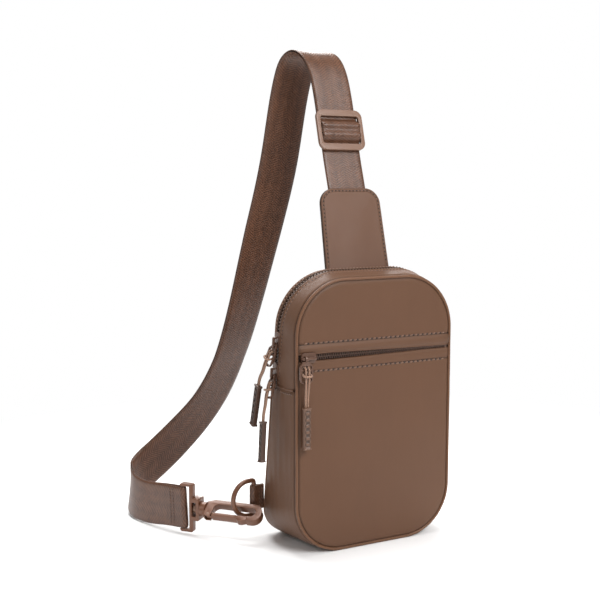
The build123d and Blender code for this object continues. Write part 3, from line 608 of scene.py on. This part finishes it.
def make_grip(name, pull):
    """A moulded grip: a lip at each end, and crossed lines pressed into its wide faces."""
    eye, across, up, out = [np.array(v) for v in pull_axes(pull)]
    way = unit(pull["way"])
    depth = unit(np.cross(across, way))
    top = eye + up * GRIP_TOP + out * GRIP_OUT
    length, wide, thick = 36.0, 6.2, 4.8
    lip_height, line_depth, line_pitch, line_slope = 0.5, 0.75, 5.2, 0.45
    run = np.concatenate([[0, 0.25], np.linspace(0.5, length - 0.5, 91),
                          [length - 0.25, length]])[:, None]
    from_end = np.minimum(run, length - run)
    taper = np.sqrt(np.clip(from_end / 0.5, 0.15, 1))
    grow = lip_height * bump((from_end - 1.0) / 1.5)
    turns = np.linspace(0, 2 * math.pi, 48, endpoint=False)
    c, s = np.cos(turns), np.sin(turns)
    box = (np.abs(c) ** 5 + np.abs(s) ** 5) ** (-1 / 5)
    x = box * c * wide / 2
    y = box * s * thick / 2
    lane = x / wide * 2
    crossed = sum(np.abs((run / line_pitch + lane * slope) % 1 - 0.5)
                  for slope in (line_slope, -line_slope))
    pressed = (smooth((0.62 - crossed) / 0.22) * (np.abs(s) > 0.62) * (np.abs(lane) < 0.86)
               * smooth((from_end - 2.4) / 0.8))

    def swollen(v, extra):
        return ((v + np.sign(v) * extra * np.minimum(1, np.abs(v))) * taper)[..., None]

    points = (top + run[..., None] * way + swollen(x, grow) * across
              + swollen(y, grow - line_depth * pressed) * depth)
    grip = add_piece(f"{name}_grip", points, capped_faces(len(run), len(turns)), pull["skin"],
                     f"{name}_grip", pull["slot"], f"{name}_pull_grip")
    # The pressed lines are also painted darker in the material, as painted shade.
    set_attribute(grip, "pressed", pressed)
    face_outwards(grip, top + way * length / 2)
    return grip


for name, pull in PULLS.items():
    cord, route = make_cord(name, pull)
    grip = make_grip(name, pull)


# ---- outlines of the body
def panel_shape(low, height, inset=PANEL_EDGE):
    """The bag's outline, that far inside itself, with its lower corners' radius."""
    return dict(half=WIDTH / 2 - inset, low=low - inset, high=TOP_RADIUS - inset,
                bottom=inset, top=height - inset)


def outline_run(part, join, half, low, high, bottom, top):
    """(x, height) along an outline's arch or cradle, which part at height join."""
    if part == "arch":
        way, radius, edge, turn, side, flat = 1, high, top, 0, 46, 46
    else:
        way, radius, edge, turn, side, flat = -1, low, bottom, 180, 76, 56
    level = edge - way * radius
    inner = way * (half - radius)

    def arc(x, start):
        t = np.radians(np.linspace(start, start + 90, 56))
        return np.stack([x + radius * np.cos(t), level + radius * np.sin(t)], 1)

    return np.concatenate([
        np.linspace((way * half, join), (way * half, level), side)[:-1],
        arc(inner, turn)[:-1],
        np.linspace((inner, edge), (-inner, edge), flat)[:-1],
        arc(-inner, turn + 90)[:-1],
        np.linspace((-way * half, level), (-way * half, join), side)])


def front_rail(part, inset=0.0, y=FRONT_Y + SEAM_DIA):
    """The front outline's arch or cradle, that far inside itself."""
    flat = outline_run(part, JOIN_Z, **panel_shape(FRONT_LOW_RADIUS, FRONT_HEIGHT, inset))
    return flat[:, :1] * X + y * Y + flat[:, 1:] * Z


def back_rail(part, inset=0.0, depth=SEAM_DIA):
    """The same of the back outline, that deep in front of its leaning plane."""
    flat = outline_run(part, JOIN_Z / math.cos(LEAN),
                       **panel_shape(BACK_LOW_RADIUS, BACK_LENGTH, inset))
    foot = (BACK_FOOT_Y - depth / math.cos(LEAN)) * Y
    return foot + flat[:, :1] * X + flat[:, 1:] * UP_BACK


def band_normals(front, back):
    """Outward normals of the band, one for each line across it."""
    along = unit(np.gradient(front, axis=0) + np.gradient(back, axis=0))
    normal = unit(np.cross(along, unit(back - front)))
    outward = np.einsum("ij,ij->i", normal, (front + back) / 2 - BAG_MIDDLE)
    return normal * np.sign(outward)[:, None]


arch_front, arch_back = front_rail("arch"), back_rail("arch")
arch_normal = band_normals(arch_front, arch_back)


def at_chain(distance):
    """Where the arch's front-to-back lines meet a plane that far behind the main zip's."""
    a, b = [(rail - np.array(CHAIN_FOOT)) @ OUT_BACK for rail in (arch_front, arch_back)]
    return arch_front + (arch_back - arch_front) * ((distance - a) / (b - a))[:, None]


def crowded(count, crowd=1.6):
    """Numbers from -1 to 1, closer together towards both ends."""
    t = np.linspace(-1, 1, count)
    return np.sign(t) * (1 - (1 - np.abs(t)) ** crowd)


def gusset_strip(name, starts, ends, normals, lift, count, shade, node):
    """Fabric from one rail to the other.  lift takes the distance from each rail and gives the
    height out of the band; shade is how far the second rail's seam darkens it."""
    width = np.linalg.norm(ends - starts, axis=1)[:, None]
    share = 0.5 + 0.5 * crowded(count)
    near = share * width
    far = width - near
    flat = starts[:, None] + (ends - starts)[:, None] * share[:, None]
    points = flat + normals[:, None] * lift(near, far, flat)[..., None]
    # Painted shade, strongest right at each rail's seam.
    seam = np.exp(-near ** 2) + np.exp(-(far / shade) ** 2)
    sheet_piece(name, points, np.clip(seam, 0, 1), node)


def zip_edge(away):
    """The rolled edge beside the zip, with the dip of its row of stitches."""
    roll = 0.55 * bump((away - 1.0) / 1.6) - 2.6 * bump(away / 0.8)
    return roll - 0.35 * bump((away - 3.4) / 1.0)


def front_strip_lift(near, far, flat):
    sag = 0.5 * ripple(flat, 26.0, 3.1) + 0.18 * ripple(flat, 9.0, 7.7)
    return (0.7 * (1 - np.exp(-near / 5.0)) - 1.3 * np.exp(-(near / 1.1) ** 2)
            + zip_edge(far) + sag * smooth(near / 6) * smooth(far / 6))


def back_strip_lift(near, far, flat):
    sag = 0.25 * ripple(flat, 22.0, 9.4)
    return (zip_edge(near) - 1.0 * np.exp(-(far / 1.0) ** 2)
            + sag * smooth(near / 4) * smooth(far / 3))


def cradle_lift(near, far, flat):
    """Dips into the seam at each side, swells a little between, and lies flat underneath."""
    edge = np.minimum(near, far)
    pillow = 0.9 * (1 - np.exp(-edge / 6.0)) - 1.3 * np.exp(-(edge / 1.1) ** 2)
    side = np.clip((flat[..., 2] - 12) / 40, 0, 1)
    streaks = ripple(flat * np.array([1, 1, 0.12]), 7.0, 2.3) * side
    sag = 0.8 * ripple(flat, 30.0, 5.5) * side
    floor = smooth(flat[..., 2] / 10)
    top_dip = bump((flat[..., 2] - JOIN_Z) / 1.6) * 0.9
    return (pillow + (0.45 * streaks + sag) * smooth(edge / 9)) * (0.25 + 0.75 * floor) - top_dip


gusset_strip("zip_gusset_front", arch_front, at_chain(-CHAIN_GAP / 2), arch_normal,
             front_strip_lift, 44, 0.8, "upper_gusset_front")
gusset_strip("zip_gusset_back", at_chain(CHAIN_GAP / 2), arch_back, arch_normal,
             back_strip_lift, 26, 0.8, "upper_gusset_back")
cradle = front_rail("cradle"), back_rail("cradle")
gusset_strip("lower_gusset_skin", *cradle, band_normals(*cradle), cradle_lift, 60, 1.0,
             "lower_gusset")


def join_fold(side, name):
    """The folded top edge of the lower gusset, over the foot of the zip strips."""
    z = JOIN_Z + 1.0
    front = np.array([side * WIDTH / 2, FRONT_Y + SEAM_DIA, z])
    back = np.array([side * WIDTH / 2, BACK_FOOT_Y - z * math.tan(LEAN) - SEAM_DIA, z])
    t = np.linspace(0, 1, 40)[:, None]
    proud = X * side * 0.35
    line = front + (back - front) * t - 1.4 * np.sin(math.pi * t) * Z + proud
    tube_piece(f"gusset_fold_{name}", line, 1.05, shell, "shell_fabric", closed=False)
    stitch_row(f"gusset_stitches_{name}", line - 3.6 * Z + proud, X * side, pitch=3.4,
               length=2.5, margin=2)


join_fold(-1, "left")
join_fold(1, "right")
stitch_row("zip_stitches_front", at_chain(-CHAIN_GAP / 2 - 3.4) + arch_normal * 0.25,
           arch_normal, pitch=3.4, length=2.4)
stitch_row("zip_stitches_back", at_chain(CHAIN_GAP / 2 + 2.6) + arch_normal * 0.2,
           arch_normal, pitch=3.4, length=2.4, hole=None)


# ---- seams
def seam_tube(name, rail, push, *place):
    """A rolled seam all round an outline, wandering a little along push."""
    line = np.concatenate([rail("arch", *place)[:-1], rail("cradle", *place)[:-1]])
    wander = 0.10 * ripple(line, 11.0, 1.9)
    tube_piece(name, line + push * wander[:, None], SEAM_DIA / 2 * 0.94, rolled,
               "seam_fabric", f"{name}_edge", sides=14)


seam_tube("front_seam", front_rail, Y, SEAM_DIA / 2, FRONT_Y + SEAM_DIA / 2)
seam_tube("back_seam", back_rail, OUT_BACK, SEAM_DIA / 2, SEAM_DIA / 2)


# ---- front and back panels
def cut_in(beyond, radius):
    """How much a round corner narrows an outline, that far beyond where it begins."""
    return radius - np.sqrt(radius ** 2 - np.clip(beyond, 0, radius) ** 2)


def half_width(height, half, low, high, bottom, top):
    """Half the outline's width at a height."""
    return half - cut_in(bottom + low - height, low) - cut_in(height - (top - high), high)


def in_corner(inside, aside, beyond, radius):
    """The distance inside an outline, mended where a place is within a round corner."""
    away = radius - np.hypot(aside, np.maximum(beyond, 0))
    return np.where((beyond > 0) & (aside > 0), away, inside)


def edge_distance(x, height, half, low, high, bottom, top):
    """How far inside the outline a place on the panel is."""
    x = np.abs(x)
    inside = np.minimum(half - x, np.minimum(height - bottom, top - height))
    for radius, beyond in ((low, bottom + low - height), (high, height - (top - high))):
        inside = in_corner(inside, x - (half - radius), beyond, radius)
    return np.maximum(inside, 0)


PANEL = panel_shape(FRONT_LOW_RADIUS, FRONT_HEIGHT)
ZIP_LOW = POCKET_ZIP_Z - CHAIN_GAP / 2


def panel_grid(heights, columns, shape):
    """(x, height) of a panel's points: a row from side to side at each height."""
    height = heights[:, None]
    return crowded(columns, 1.5) * half_width(height, **shape), np.repeat(height, columns, 1)


def raised(plane, x, height, lift):
    """Points across and up a plane from its foot, lifted out of it."""
    foot, up, out = plane
    return foot + x[..., None] * X + height[..., None] * up + np.asarray(lift)[..., None] * out


def front_points(x, z, extra):
    """Points of the front panels, and how far inside their edge each one is."""
    edge = edge_distance(x, z, **PANEL)
    place = np.stack([x, 0 * x, z], -1)
    swell = 1.1 * smooth(edge / 42) * smooth((150 - z) / 60 + 0.2)
    pucker = ripple(place, 5.0, 4.4) * np.exp(-edge / 6) * 0.22
    waves = 0.28 * ripple(place, 34.0, 8.8) * smooth(edge / 14)
    lift = swell + pucker + waves - 1.5 * np.exp(-(edge / 1.6) ** 1.5) + extra
    return raised(FRONT_PLANE, x, z, lift), edge


def slot_lean(x):
    """0 at the pocket's slider to 1 at the other end, where its slot closes."""
    return smooth((x + 60) / 135)


def front_sheet(name, x, z, extra, seam, node):
    """A front panel, with the height and the seam shade that its own edges add."""
    points, edge = front_points(x, z, extra)
    sheet_piece(name, points, np.clip(np.exp(-(edge / 1.1) ** 2) + seam, 0, 1), node)


def lower_panel():
    """Up to the pocket's zip, with its rows closer together in the last 16 mm."""
    fine = np.linspace(ZIP_LOW - 16, ZIP_LOW, 60)
    coarse = np.interp(np.linspace(0, 1, 190) ** 1.7, (0, 1), (PANEL["bottom"], ZIP_LOW))
    heights = np.concatenate([coarse[coarse < fine[0] - 0.2], fine])
    x, z = panel_grid(heights, 150, PANEL)
    below = ZIP_LOW - z
    extra = (-0.35 * bump((z - LOWER_STITCH_Z) / 1.3) + 0.30 * bump((below - 1.2) / 1.5)
             - 1.9 * bump(below / 0.8) + 0.25 * bump((below - 5) / 4))
    rise = 1.5 * slot_lean(x) * smooth((z - 150) / (ZIP_LOW - 150))
    # Painted shade under the pocket zip's slot and along the row of stitches.
    seam = 0.7 * bump(below / 0.5) + 0.55 * bump((z - LOWER_STITCH_Z) / 1.5)
    front_sheet("front_panel_lower_skin", x, z + rise, extra, seam, "front_panel_lower")


def upper_panel():
    share = np.linspace(1, 0, 90) ** 1.7
    x, z = panel_grid(np.interp(share, (0, 1), (PANEL["top"], WELT_TOP_Z)), 150, PANEL)
    # The seam shade given here is painted shade in the groove along the welt's top.
    front_sheet("front_panel_upper_skin", x, z, -0.55 * bump((z - WELT_TOP_Z) / 1.4),
                0.6 * bump((z - WELT_TOP_Z) / 1.6), "front_panel_upper")


def welt():
    """The padded fold over the pocket zip."""
    corners = np.array([(0.2, WELT_TOP_Z + 0.2), (-0.8, WELT_TOP_Z - 1.4), (-1.5, 177.6),
                        (-1.0, 175.2), (-0.15, 174.1), (0.25, 172.8), (1.2, 172.3),
                        (2.2, 172.7)])
    run = np.linspace(0, 1, len(corners))
    depth, height = relax(read_at(np.linspace(0, 1, 44), run, corners), 3).T[..., None]
    half = WIDTH / 2 - SEAM_DIA + 0.8
    x = crowded(140, 1.5) * half
    ends = np.exp(-(half - np.abs(x)) / 2.2)
    soft = ripple(x[:, None] * X, 12.0, 6.2) * 0.15
    y = FRONT_Y + depth + (1.5 * ends - soft) * (depth < 0.2)
    z = height + soft * 0.6 - 1.9 * slot_lean(x) * smooth((WELT_TOP_Z - height) / 8)
    # Painted shade at the welt's ends, in its top groove and on its face tucked back into the
    # zip's slot.
    seam = ends * 0.7 + 0.6 * bump((height - WELT_TOP_Z) / 0.8) + 0.6 * (depth > 0.8)
    sheet_piece("pocket_welt_skin", np.stack(np.broadcast_arrays(x, y, z), -1),
                np.clip(seam, 0, 1), "pocket_welt")


def pocket_stitches(name, z):
    half = 72.5
    x = np.linspace(-half, half, 160)
    row, _ = front_points(x, np.full_like(x, z), -0.35)
    stitch_row(name, row, -Y, pitch=4.6, length=3.2, radius=0.72, hole=(1.0, 1.3, 0.5), slant=0.3)


def back_panel():
    """The padded back, with a row of stitches inside its edge."""
    shape = panel_shape(BACK_LOW_RADIUS, BACK_LENGTH)
    stitch_inset = 5.0
    ends = shape["bottom"], shape["top"]
    x, s = panel_grid(np.interp(crowded(150, 2.0), (-1, 1), ends), 130, shape)
    edge = edge_distance(x, s, **shape)
    lift = (1.6 * smooth(edge / 26) - 1.5 * np.exp(-(edge / 1.6) ** 1.5)
            + 0.25 * ripple(np.stack([x, 0 * x, s], -1), 30.0, 12.2) * smooth(edge / 12)
            - 0.5 * bump((edge - stitch_inset) / 1.2))
    # Its seam values are painted shade along the outline's edge.
    piece = sheet_piece("back_panel_skin", raised(BACK_PLANE, x, s, lift),
                        np.exp(-(edge / 0.9) ** 2), "back_panel", "back_foam")
    inner = panel_shape(BACK_LOW_RADIUS, BACK_LENGTH, PANEL_EDGE + stitch_inset)
    arch, cradle = [outline_run(part, 100.0, **inner) for part in ("arch", "cradle")]
    x, s = np.concatenate([arch[:-1], cradle]).T
    stitch_row("back_panel_stitches", raised(BACK_PLANE, x, s, 0.05), OUT_BACK, pitch=3.4)


lower_panel()
upper_panel()
welt()
pocket_stitches("pocket_stitches_high", WELT_TOP_Z + 0.9)
pocket_stitches("pocket_stitches_low", LOWER_STITCH_Z)
back_panel()


# ---- zips
def rounded_box():
    """A unit box with its edges cut back."""
    shape = bmesh.new()
    bmesh.ops.create_cube(shape, size=2.0)
    bmesh.ops.bevel(shape, geom=shape.edges[:], offset=0.28, segments=1, affect="EDGES")
    shape.verts.ensure_lookup_table()
    points = np.array([v.co[:] for v in shape.verts])
    faces = [tuple(v.index for v in f.verts) for f in shape.faces]
    shape.free()
    return points, faces


BOX = rounded_box()
TAPE_HALF = 6.2
ROW_APART = 0.95        # each row of coil from the zip's middle


def make_zip(name, line, normals, sink, drop, pitch, material):
    """Two meshed rows of coil, each turn a small rounded bar, and the woven tape under it."""
    normals = np.broadcast_to(normals, line.shape)
    place, heading, normal = resample(line - normals * sink, normals, pitch, 0.5)
    side = np.cross(normal, heading)
    way = np.where(np.arange(len(place)) % 2, ROW_APART, -ROW_APART)[:, None]
    repeat_piece(f"{name}_coil", BOX, place + side * way, (heading, side, normal),
                 (0.42 * pitch, 1.45, 0.6), material, "zip_teeth", f"{name}_zip_teeth")
    across = np.cross(normals, unit(np.gradient(line, axis=0)))
    share = np.linspace(-TAPE_HALF, TAPE_HALF, 14)[:, None]
    points = line[:, None] + across[:, None] * share - normals[:, None] * drop
    sheet_piece(f"{name}_tape", points, np.zeros(points.shape[:2]), f"{name}_zip_tapes",
                material=tape, slot="zip_tape")


make_zip("main", at_chain(0.0), arch_normal, 0.45, 2.1, 1.45, main_coil)
make_zip("pocket", np.linspace(-73.2, 73.2, 60)[:, None] * X + FRONT_Y * Y + POCKET_ZIP_Z * Z,
         -Y, 1.1, 2.2, 1.1, coil)


def finish(mesh, material):
    mesh.materials.clear()
    mesh.materials.append(material)


def soften(node, material, width, segments=2):
    """A copy of a CAD node with its edges rounded, standing for it."""
    source = frame["nodes"][node]
    mesh = source.data.copy()
    shape = bmesh.new()
    shape.from_mesh(mesh)
    bmesh.ops.remove_doubles(shape, verts=shape.verts, dist=2e-6)
    bmesh.ops.dissolve_limit(shape, angle_limit=math.radians(1.5), verts=shape.verts,
                             edges=shape.edges)
    shape.to_mesh(mesh)
    shape.free()
    finish(mesh, material)
    piece = link_object(node + "_finished", mesh)
    bevel = piece.modifiers.new("edges", "BEVEL")
    bevel.width = width * MM
    bevel.segments = segments
    bevel.limit_method = "ANGLE"
    bevel.angle_limit = math.radians(32)
    bpy.context.view_layer.update()
    evaluated = piece.evaluated_get(bpy.context.evaluated_depsgraph_get())
    rounded = bpy.data.meshes.new_from_object(evaluated)
    piece.modifiers.clear()
    piece.data = rounded
    rounded.shade_smooth()
    rounded.set_sharp_from_angle(angle=math.radians(48))
    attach(piece, source["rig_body"])
    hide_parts(node)


for part in ("slider", "pull_tab"):
    for name in PULLS:
        soften(f"{name}_{part}", zip_finish, 0.28)
soften("glide_frame", buckle, 1.25, 5)
soften("hook_frame", hook_finish, 0.45, 3)
soften("hook_body", hook_finish, 1.1, 4)
soften("gate", hook_finish, 0.8, 3)
soften("swivel_rivet", steel, 0.3)
soften("gate_pin", steel, 0.2)
for node, material in {
    "d_ring": hook_finish, "gate_spring": steel, "main_zip_stops": zip_finish,
    "pocket_zip_stops": zip_finish, "pocket_lining": lining, "main_lining": lining,
}.items():
    finish(frame["nodes"][node].data, material)


# ---- strap
# The strap's middle line, and the way that its width points at each place.
STRAP_ROUTE = [
    (0, 5.2, 265), (-0.8, 10.3, 287), (-1.8, 15.4, 309), (-2.2, 23.2, 335), (-2.2, 31.9, 365),
    (-2.4, 40.6, 395), (-4, 47, 414), (-7.5, 56, 427), (-12, 68, 431), (-16, 79, 425),
    (-19, 86, 410), (-22, 90, 388), (-29, 94.5, 336), (-42, 103, 269), (-54.5, 116, 201),
    (-65, 132, 146), (-82, 150, 99), (-106, 163, 66), (-131, 167, 43), (-152, 162, 28.5),
    (-162.5, 146, 22.5), (-163, 126, 20.5), (-157.5, 106, 21.0), (-150, 86, 23.6),
    (-141.5, 65.7, 25.3)]
STRAP_ACROSS = [(1, 0, 0)] * 13 + [
    (1, 0.05, 0), (1, 0.2, 0), (0.93, 0.3, -0.1), (0.75, 0.3, -0.5), (0.45, 0.2, -0.8),
    (0.15, 0.1, -1), (0, 0, -1), (-0.12, 0, -1), (-0.14, 0, -1), (-0.10, 0, -1),
    (-0.04, 0, -1), (0, 0, -1)]
HOOK_TURN = 2.75
RETURN_SPREAD = 0.05
WEB_PITCH = WEB_THICK + 0.2
RETURN_TOP_Z = 358      # where the return run ends, under the adjuster


def spline(points, marks, at):
    """A natural cubic spline through points at marks, read at other marks."""
    count = len(points)
    step = np.diff(marks)
    system = np.eye(count)
    right = np.zeros(points.shape)
    for i in range(1, count - 1):
        system[i, i - 1:i + 2] = step[i - 1], 2 * (step[i - 1] + step[i]), step[i]
        right[i] = 6 * ((points[i + 1] - points[i]) / step[i]
                        - (points[i] - points[i - 1]) / step[i - 1])
    bend = np.linalg.solve(system, right)
    k = np.clip(np.searchsorted(marks, at, side="right") - 1, 0, count - 2)
    h = step[k][:, None]
    b = ((at - marks[k]) / step[k])[:, None]
    a = 1 - b
    return (a * points[k] + b * points[k + 1]
            + ((a ** 3 - a) * bend[k] + (b ** 3 - b) * bend[k + 1]) * h ** 2 / 6)


def strap_line(samples):
    places, guides = np.array(STRAP_ROUTE), np.array(STRAP_ACROSS)
    marks = run_of(places)
    at = np.linspace(0, marks[-1], samples)
    line = spline(places, marks, at)
    guide = read_at(at, marks, guides)
    heading = unit(np.gradient(line, axis=0))
    across = unit(guide - heading * np.sum(guide * heading, 1)[:, None])
    return line, heading, across, np.cross(heading, across)


def web_piece(name, line, across, normal, width, thick, material, body, *nodes):
    """A strip of webbing with soft selvedges, and a uv map in millimetres."""
    across, normal = [np.broadcast_to(v, line.shape)[:, None] for v in (across, normal)]
    t = np.linspace(-1, 1, 22)
    half = np.broadcast_to(np.asarray(width) / 2, len(line))[:, None]
    depth = thick / 2 * np.sqrt(np.clip(1 - np.abs(t) ** 16, 0, 1))
    depth[0] = depth[-1] = thick * 0.12
    flat = line[:, None] + across * (t * half)[..., None]
    rise = normal * depth[:, None]
    ring = np.concatenate([flat + rise, (flat - rise)[:, ::-1]], 1)
    rows, around = ring.shape[:2]
    mesh = add_piece(name, ring, capped_faces(rows, around), material, body, "strap_web",
                     *nodes).data
    u = np.concatenate([t, t[::-1]]) * half + half
    uv = np.stack([u, np.repeat(run_of(line)[:, None], around, 1)], -1).reshape(-1, 2)
    layer = mesh.uv_layers.new(name="web")
    corners = np.zeros(len(mesh.loops), int)
    mesh.loops.foreach_get("vertex_index", corners)
    layer.data.foreach_set("uv", uv[corners].astype(np.float32).ravel())
    shape = bmesh.new()
    shape.from_mesh(mesh)
    bmesh.ops.recalc_face_normals(shape, faces=shape.faces)
    shape.to_mesh(mesh)
    shape.free()


def make_strap():
    """The strap, its turn round the hook's bar, and the return run beside it."""
    line, heading, across, inward = strap_line(620)
    share = np.linspace(0, 1, len(line))
    apart = np.clip((share - 1 + RETURN_SPREAD) / RETURN_SPREAD, 0, 1)
    waver = 0.22 * ripple(line, 40.0, 2.9)[:, None] * inward * (1 - apart)[:, None]
    offset = WEB_PITCH + (2 * HOOK_TURN - WEB_PITCH) * apart
    first = int(np.argmax(line[:, 2] > RETURN_TOP_Z))
    back_run = line + inward * offset[:, None] + waver
    turn = np.linspace(0, math.pi, 26)[1:-1, None]
    bar = line[-1] + inward[-1] * HOOK_TURN
    turn_normal = inward[-1] * np.cos(turn) - heading[-1] * np.sin(turn)
    loop = bar - turn_normal * HOOK_TURN
    path = np.concatenate([line + waver, loop, back_run[first:][::-1]])
    sides = np.concatenate([across, np.tile(across[-1], (len(loop), 1)), across[first:][::-1]])
    normals = np.concatenate([inward, turn_normal, -inward[first:][::-1]])
    near_hook = np.concatenate([apart, np.ones(len(loop)), apart[first:][::-1]])
    web_piece("strap", path, sides, normals, WEB_WIDTH - 1.0 * near_hook, WEB_THICK, webbing,
              "bag", "strap_webbing", "strap_return", "strap_hook_loop")
    return line, heading, across, inward


strap_mid, strap_heading, strap_across, strap_inward = make_strap()


def strap_end_stitches(back):
    """A row across the webbing, that many samples before the hook."""
    middle, across, out = strap_mid[-back], strap_across[-back], -strap_inward[-back]
    t = np.linspace(-WEB_WIDTH / 2 + 2, WEB_WIDTH / 2 - 2, 24)[:, None]
    stitch_row(f"strap_end_stitches_{back}", middle + t * across + out * WEB_THICK / 2, out,
               radius=0.4, material=dark_thread, **SMALL_STITCH)


strap_end_stitches(9)
strap_end_stitches(12)


def make_adjuster():
    """The webbing that humps over the tri-glide's middle bar, and the sewn loop round it."""
    low, high = [np.array(v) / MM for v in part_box("glide_frame")]
    k = int(np.argmin(np.linalg.norm(strap_mid[:260] - (low + high) / 2, axis=1)))
    origin, up, out, across = strap_mid[k], strap_heading[k], -strap_inward[k], strap_across[k]
    marks = np.array([-17, -12.6, -9.6, -7.2, -4.4, -1.2, 1.2, 4.2, 7.0, 9.6, 12.6, 17.0])
    level = np.array([1.75, 1.75, 2.5, 5.2, 6.75, 6.3, 6.2, 7.1, 5.6, 2.6, 1.75, 1.75])
    at = np.linspace(-17, 17, 90)
    line = origin + at[:, None] * up + spline(level[:, None], marks, at) * out
    normal = np.cross(unit(np.gradient(line, axis=0)), across)
    web_piece("glide_hump", line, across, normal, WEB_WIDTH + 0.5, 1.3, webbing, "adjuster",
              "glide_wrap")
    line = origin + np.linspace(-5, 8, 20)[:, None] * up + 1.7 * out
    web_piece("sewn_end", line, across, -out, WEB_WIDTH - 1.2, 1.2, webbing, "adjuster",
              "return_end")


make_adjuster()


# ---- ring tab
RING_BAR = np.array([-87.0, 30.0])
TAB_SEAM_X, TAB_NECK_X = -77.6, -83.4
TAB_GAP = 0.78          # of each run of webbing from the tab's middle plane
TAB_THICK = 1.4


def make_ring_tab():
    """Webbing folded round the D-ring's bar and sewn into the back seam."""
    low, high = [v[2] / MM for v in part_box("ring_tab")]
    turn = np.linspace(-0.25 * math.pi, -1.75 * math.pi, 30)[6:-6]
    near, far = RING_BAR[1] - TAB_GAP, RING_BAR[1] + TAB_GAP
    flat = relax(np.concatenate([
        np.linspace((TAB_SEAM_X, near), (TAB_NECK_X, near), 12),
        RING_BAR + 3.1 * np.stack([np.cos(turn), np.sin(turn)], 1),
        np.linspace((TAB_NECK_X, far), (TAB_SEAM_X, far), 12)]), 6)
    line = np.column_stack([flat, np.full(len(flat), (low + high) / 2)])
    web_piece("ring_tab_web", line, Z, np.cross(unit(np.gradient(line, axis=0)), Z), high - low,
              TAB_THICK, ring_webbing, "bag", "ring_tab")
    for x in (-79.6, -82.4):
        z = np.linspace(low + 1.5, high - 1.5, 20)[:, None]
        stitch_row(f"ring_tab_stitches_{int(-x)}", x * X + (near - 0.72) * Y + z * Z, -Y,
                   radius=0.36, **SMALL_STITCH)


make_ring_tab()


# ---- strap patch
PATCH_LEAN = math.radians(13)
PATCH_FOOT = np.array([0, -0.4, 240.6])
PATCH_UP = np.array([0, math.sin(PATCH_LEAN), math.cos(PATCH_LEAN)])
PATCH_OUT = np.array([0, -math.cos(PATCH_LEAN), math.sin(PATCH_LEAN)])
PATCH_PLANE = PATCH_FOOT, PATCH_UP, PATCH_OUT
PATCH_LENGTH, PATCH_LOW, PATCH_HIGH, PATCH_CORNER = 70.0, 32.0, 30.0, 14.0
PATCH_SHOULDER = PATCH_LENGTH - PATCH_CORNER
PATCH_HALF_THICK = 2.5
PATCH_STITCH = 2.6      # of its row of stitches, inside its edge


def patch_side(t):
    """Half the patch's width at a distance up it, were its corners square."""
    return PATCH_LOW + (PATCH_HIGH - PATCH_LOW) * t / PATCH_LENGTH


def patch_edge(x, t):
    """How far inside its outline a place on the patch is."""
    side = patch_side(t)
    x = np.abs(x)
    inside = np.minimum(side - x, PATCH_LENGTH - t)
    aside = x - (side - PATCH_CORNER)
    return np.maximum(in_corner(inside, aside, t - PATCH_SHOULDER, PATCH_CORNER), 0)


def patch_level(x, t):
    """Height of the patch's face over its middle plane."""
    edge = patch_edge(x, t)
    round_edge = np.sqrt(np.clip(1 - (1 - np.clip(edge / 1.5, 0, 1)) ** 2, 0, 1))
    waves = 0.16 * ripple(np.stack([x, 0 * x, t], -1), 18.0, 5.0) * smooth(edge / 8)
    swell = 0.6 * smooth((edge - 3) / 26)
    groove = 0.55 * bump((edge - PATCH_STITCH) / 1.3)
    return (PATCH_HALF_THICK - 0.5) * round_edge + 0.2 + swell - groove + waves


def make_patch():
    tuck = 5.0      # of it is down inside the back seam
    height = (PATCH_LENGTH - (PATCH_LENGTH + tuck) * np.linspace(1, 0, 110) ** 1.8)[:, None]
    wide = patch_side(height) - cut_in(height - PATCH_SHOULDER, PATCH_CORNER)
    x = crowded(90, 1.9) * wide
    height = np.repeat(height, 90, 1)
    level = patch_level(x, height)
    edge = patch_edge(x, height)
    # Painted shade along the patch's edge and in the groove of its stitches.
    seam = 0.8 * np.exp(-(edge / 0.5) ** 2) + 0.4 * bump((edge - PATCH_STITCH) / 1.2)
    for name, side, node in (("patch_face", 1, "patch_front"), ("patch_rear", -1, "patch_back")):
        points = raised(PATCH_PLANE, x, height, level * side)
        sheet_piece(name, points, seam, node, material=patch_skin, slot="patch_fabric",
                    middle=PATCH_FOOT + PATCH_UP * 35 - PATCH_OUT * 20 * side)
    over = np.radians(np.linspace(0, 90, 30))
    radius = PATCH_CORNER - PATCH_STITCH
    t = np.linspace(0.5, PATCH_SHOULDER, 40)
    half = np.concatenate([patch_side(t) - PATCH_STITCH,
                           PATCH_HIGH + 0.2 - PATCH_CORNER + radius * np.cos(over)])
    t = np.concatenate([t, PATCH_SHOULDER + radius * np.sin(over)])
    x, t = np.concatenate([half, -half[::-1]]), np.concatenate([t, t[::-1]])
    for name, side in (("patch_stitches", 1), ("patch_stitches_rear", -1)):
        row = raised(PATCH_PLANE, x, t, patch_level(x, t) * side)
        stitch_row(name, row, PATCH_OUT * side, pitch=3.5, length=2.2, margin=1.0)


make_patch()


# ---- floor
def make_floor():
    """White paper that catches a shadow near the bag and glows white farther out."""
    mesh = bpy.data.meshes.new("floor")
    reach = 30.0
    corners = ((-1, -1), (1, -1), (1, 1), (-1, 1))
    mesh.from_pydata([(reach * x, reach * y, 0) for x, y in corners], [], [(0, 1, 2, 3)])
    paper = Shader("paper", 0.95, Specular_IOR_Level=0.1)
    paper.colour((0.9, 0.9, 0.9), paper.around(paper.noise(0.4, 2), 0.01))
    paper.relief(paper.noise(0.002, 2), 0.0001, 0.2)
    far = paper.node("VectorMath", {0: paper.place}, operation="LENGTH").outputs["Value"]
    share = paper.node("MapRange", {"From Min": 0.22, "From Max": 0.62, "Value": far},
                       interpolation_type="SMOOTHSTEP").outputs["Result"]
    glow = paper.node("Emission").outputs[0]
    mix = paper.node("MixShader", {"Fac": share, 1: paper.main.outputs[0], 2: glow})
    paper.feed(paper.tree.nodes["Material Output"], {"Surface": mix.outputs[0]})
    mesh.materials.append(paper.material)
    link_object("floor", mesh)


make_floor()
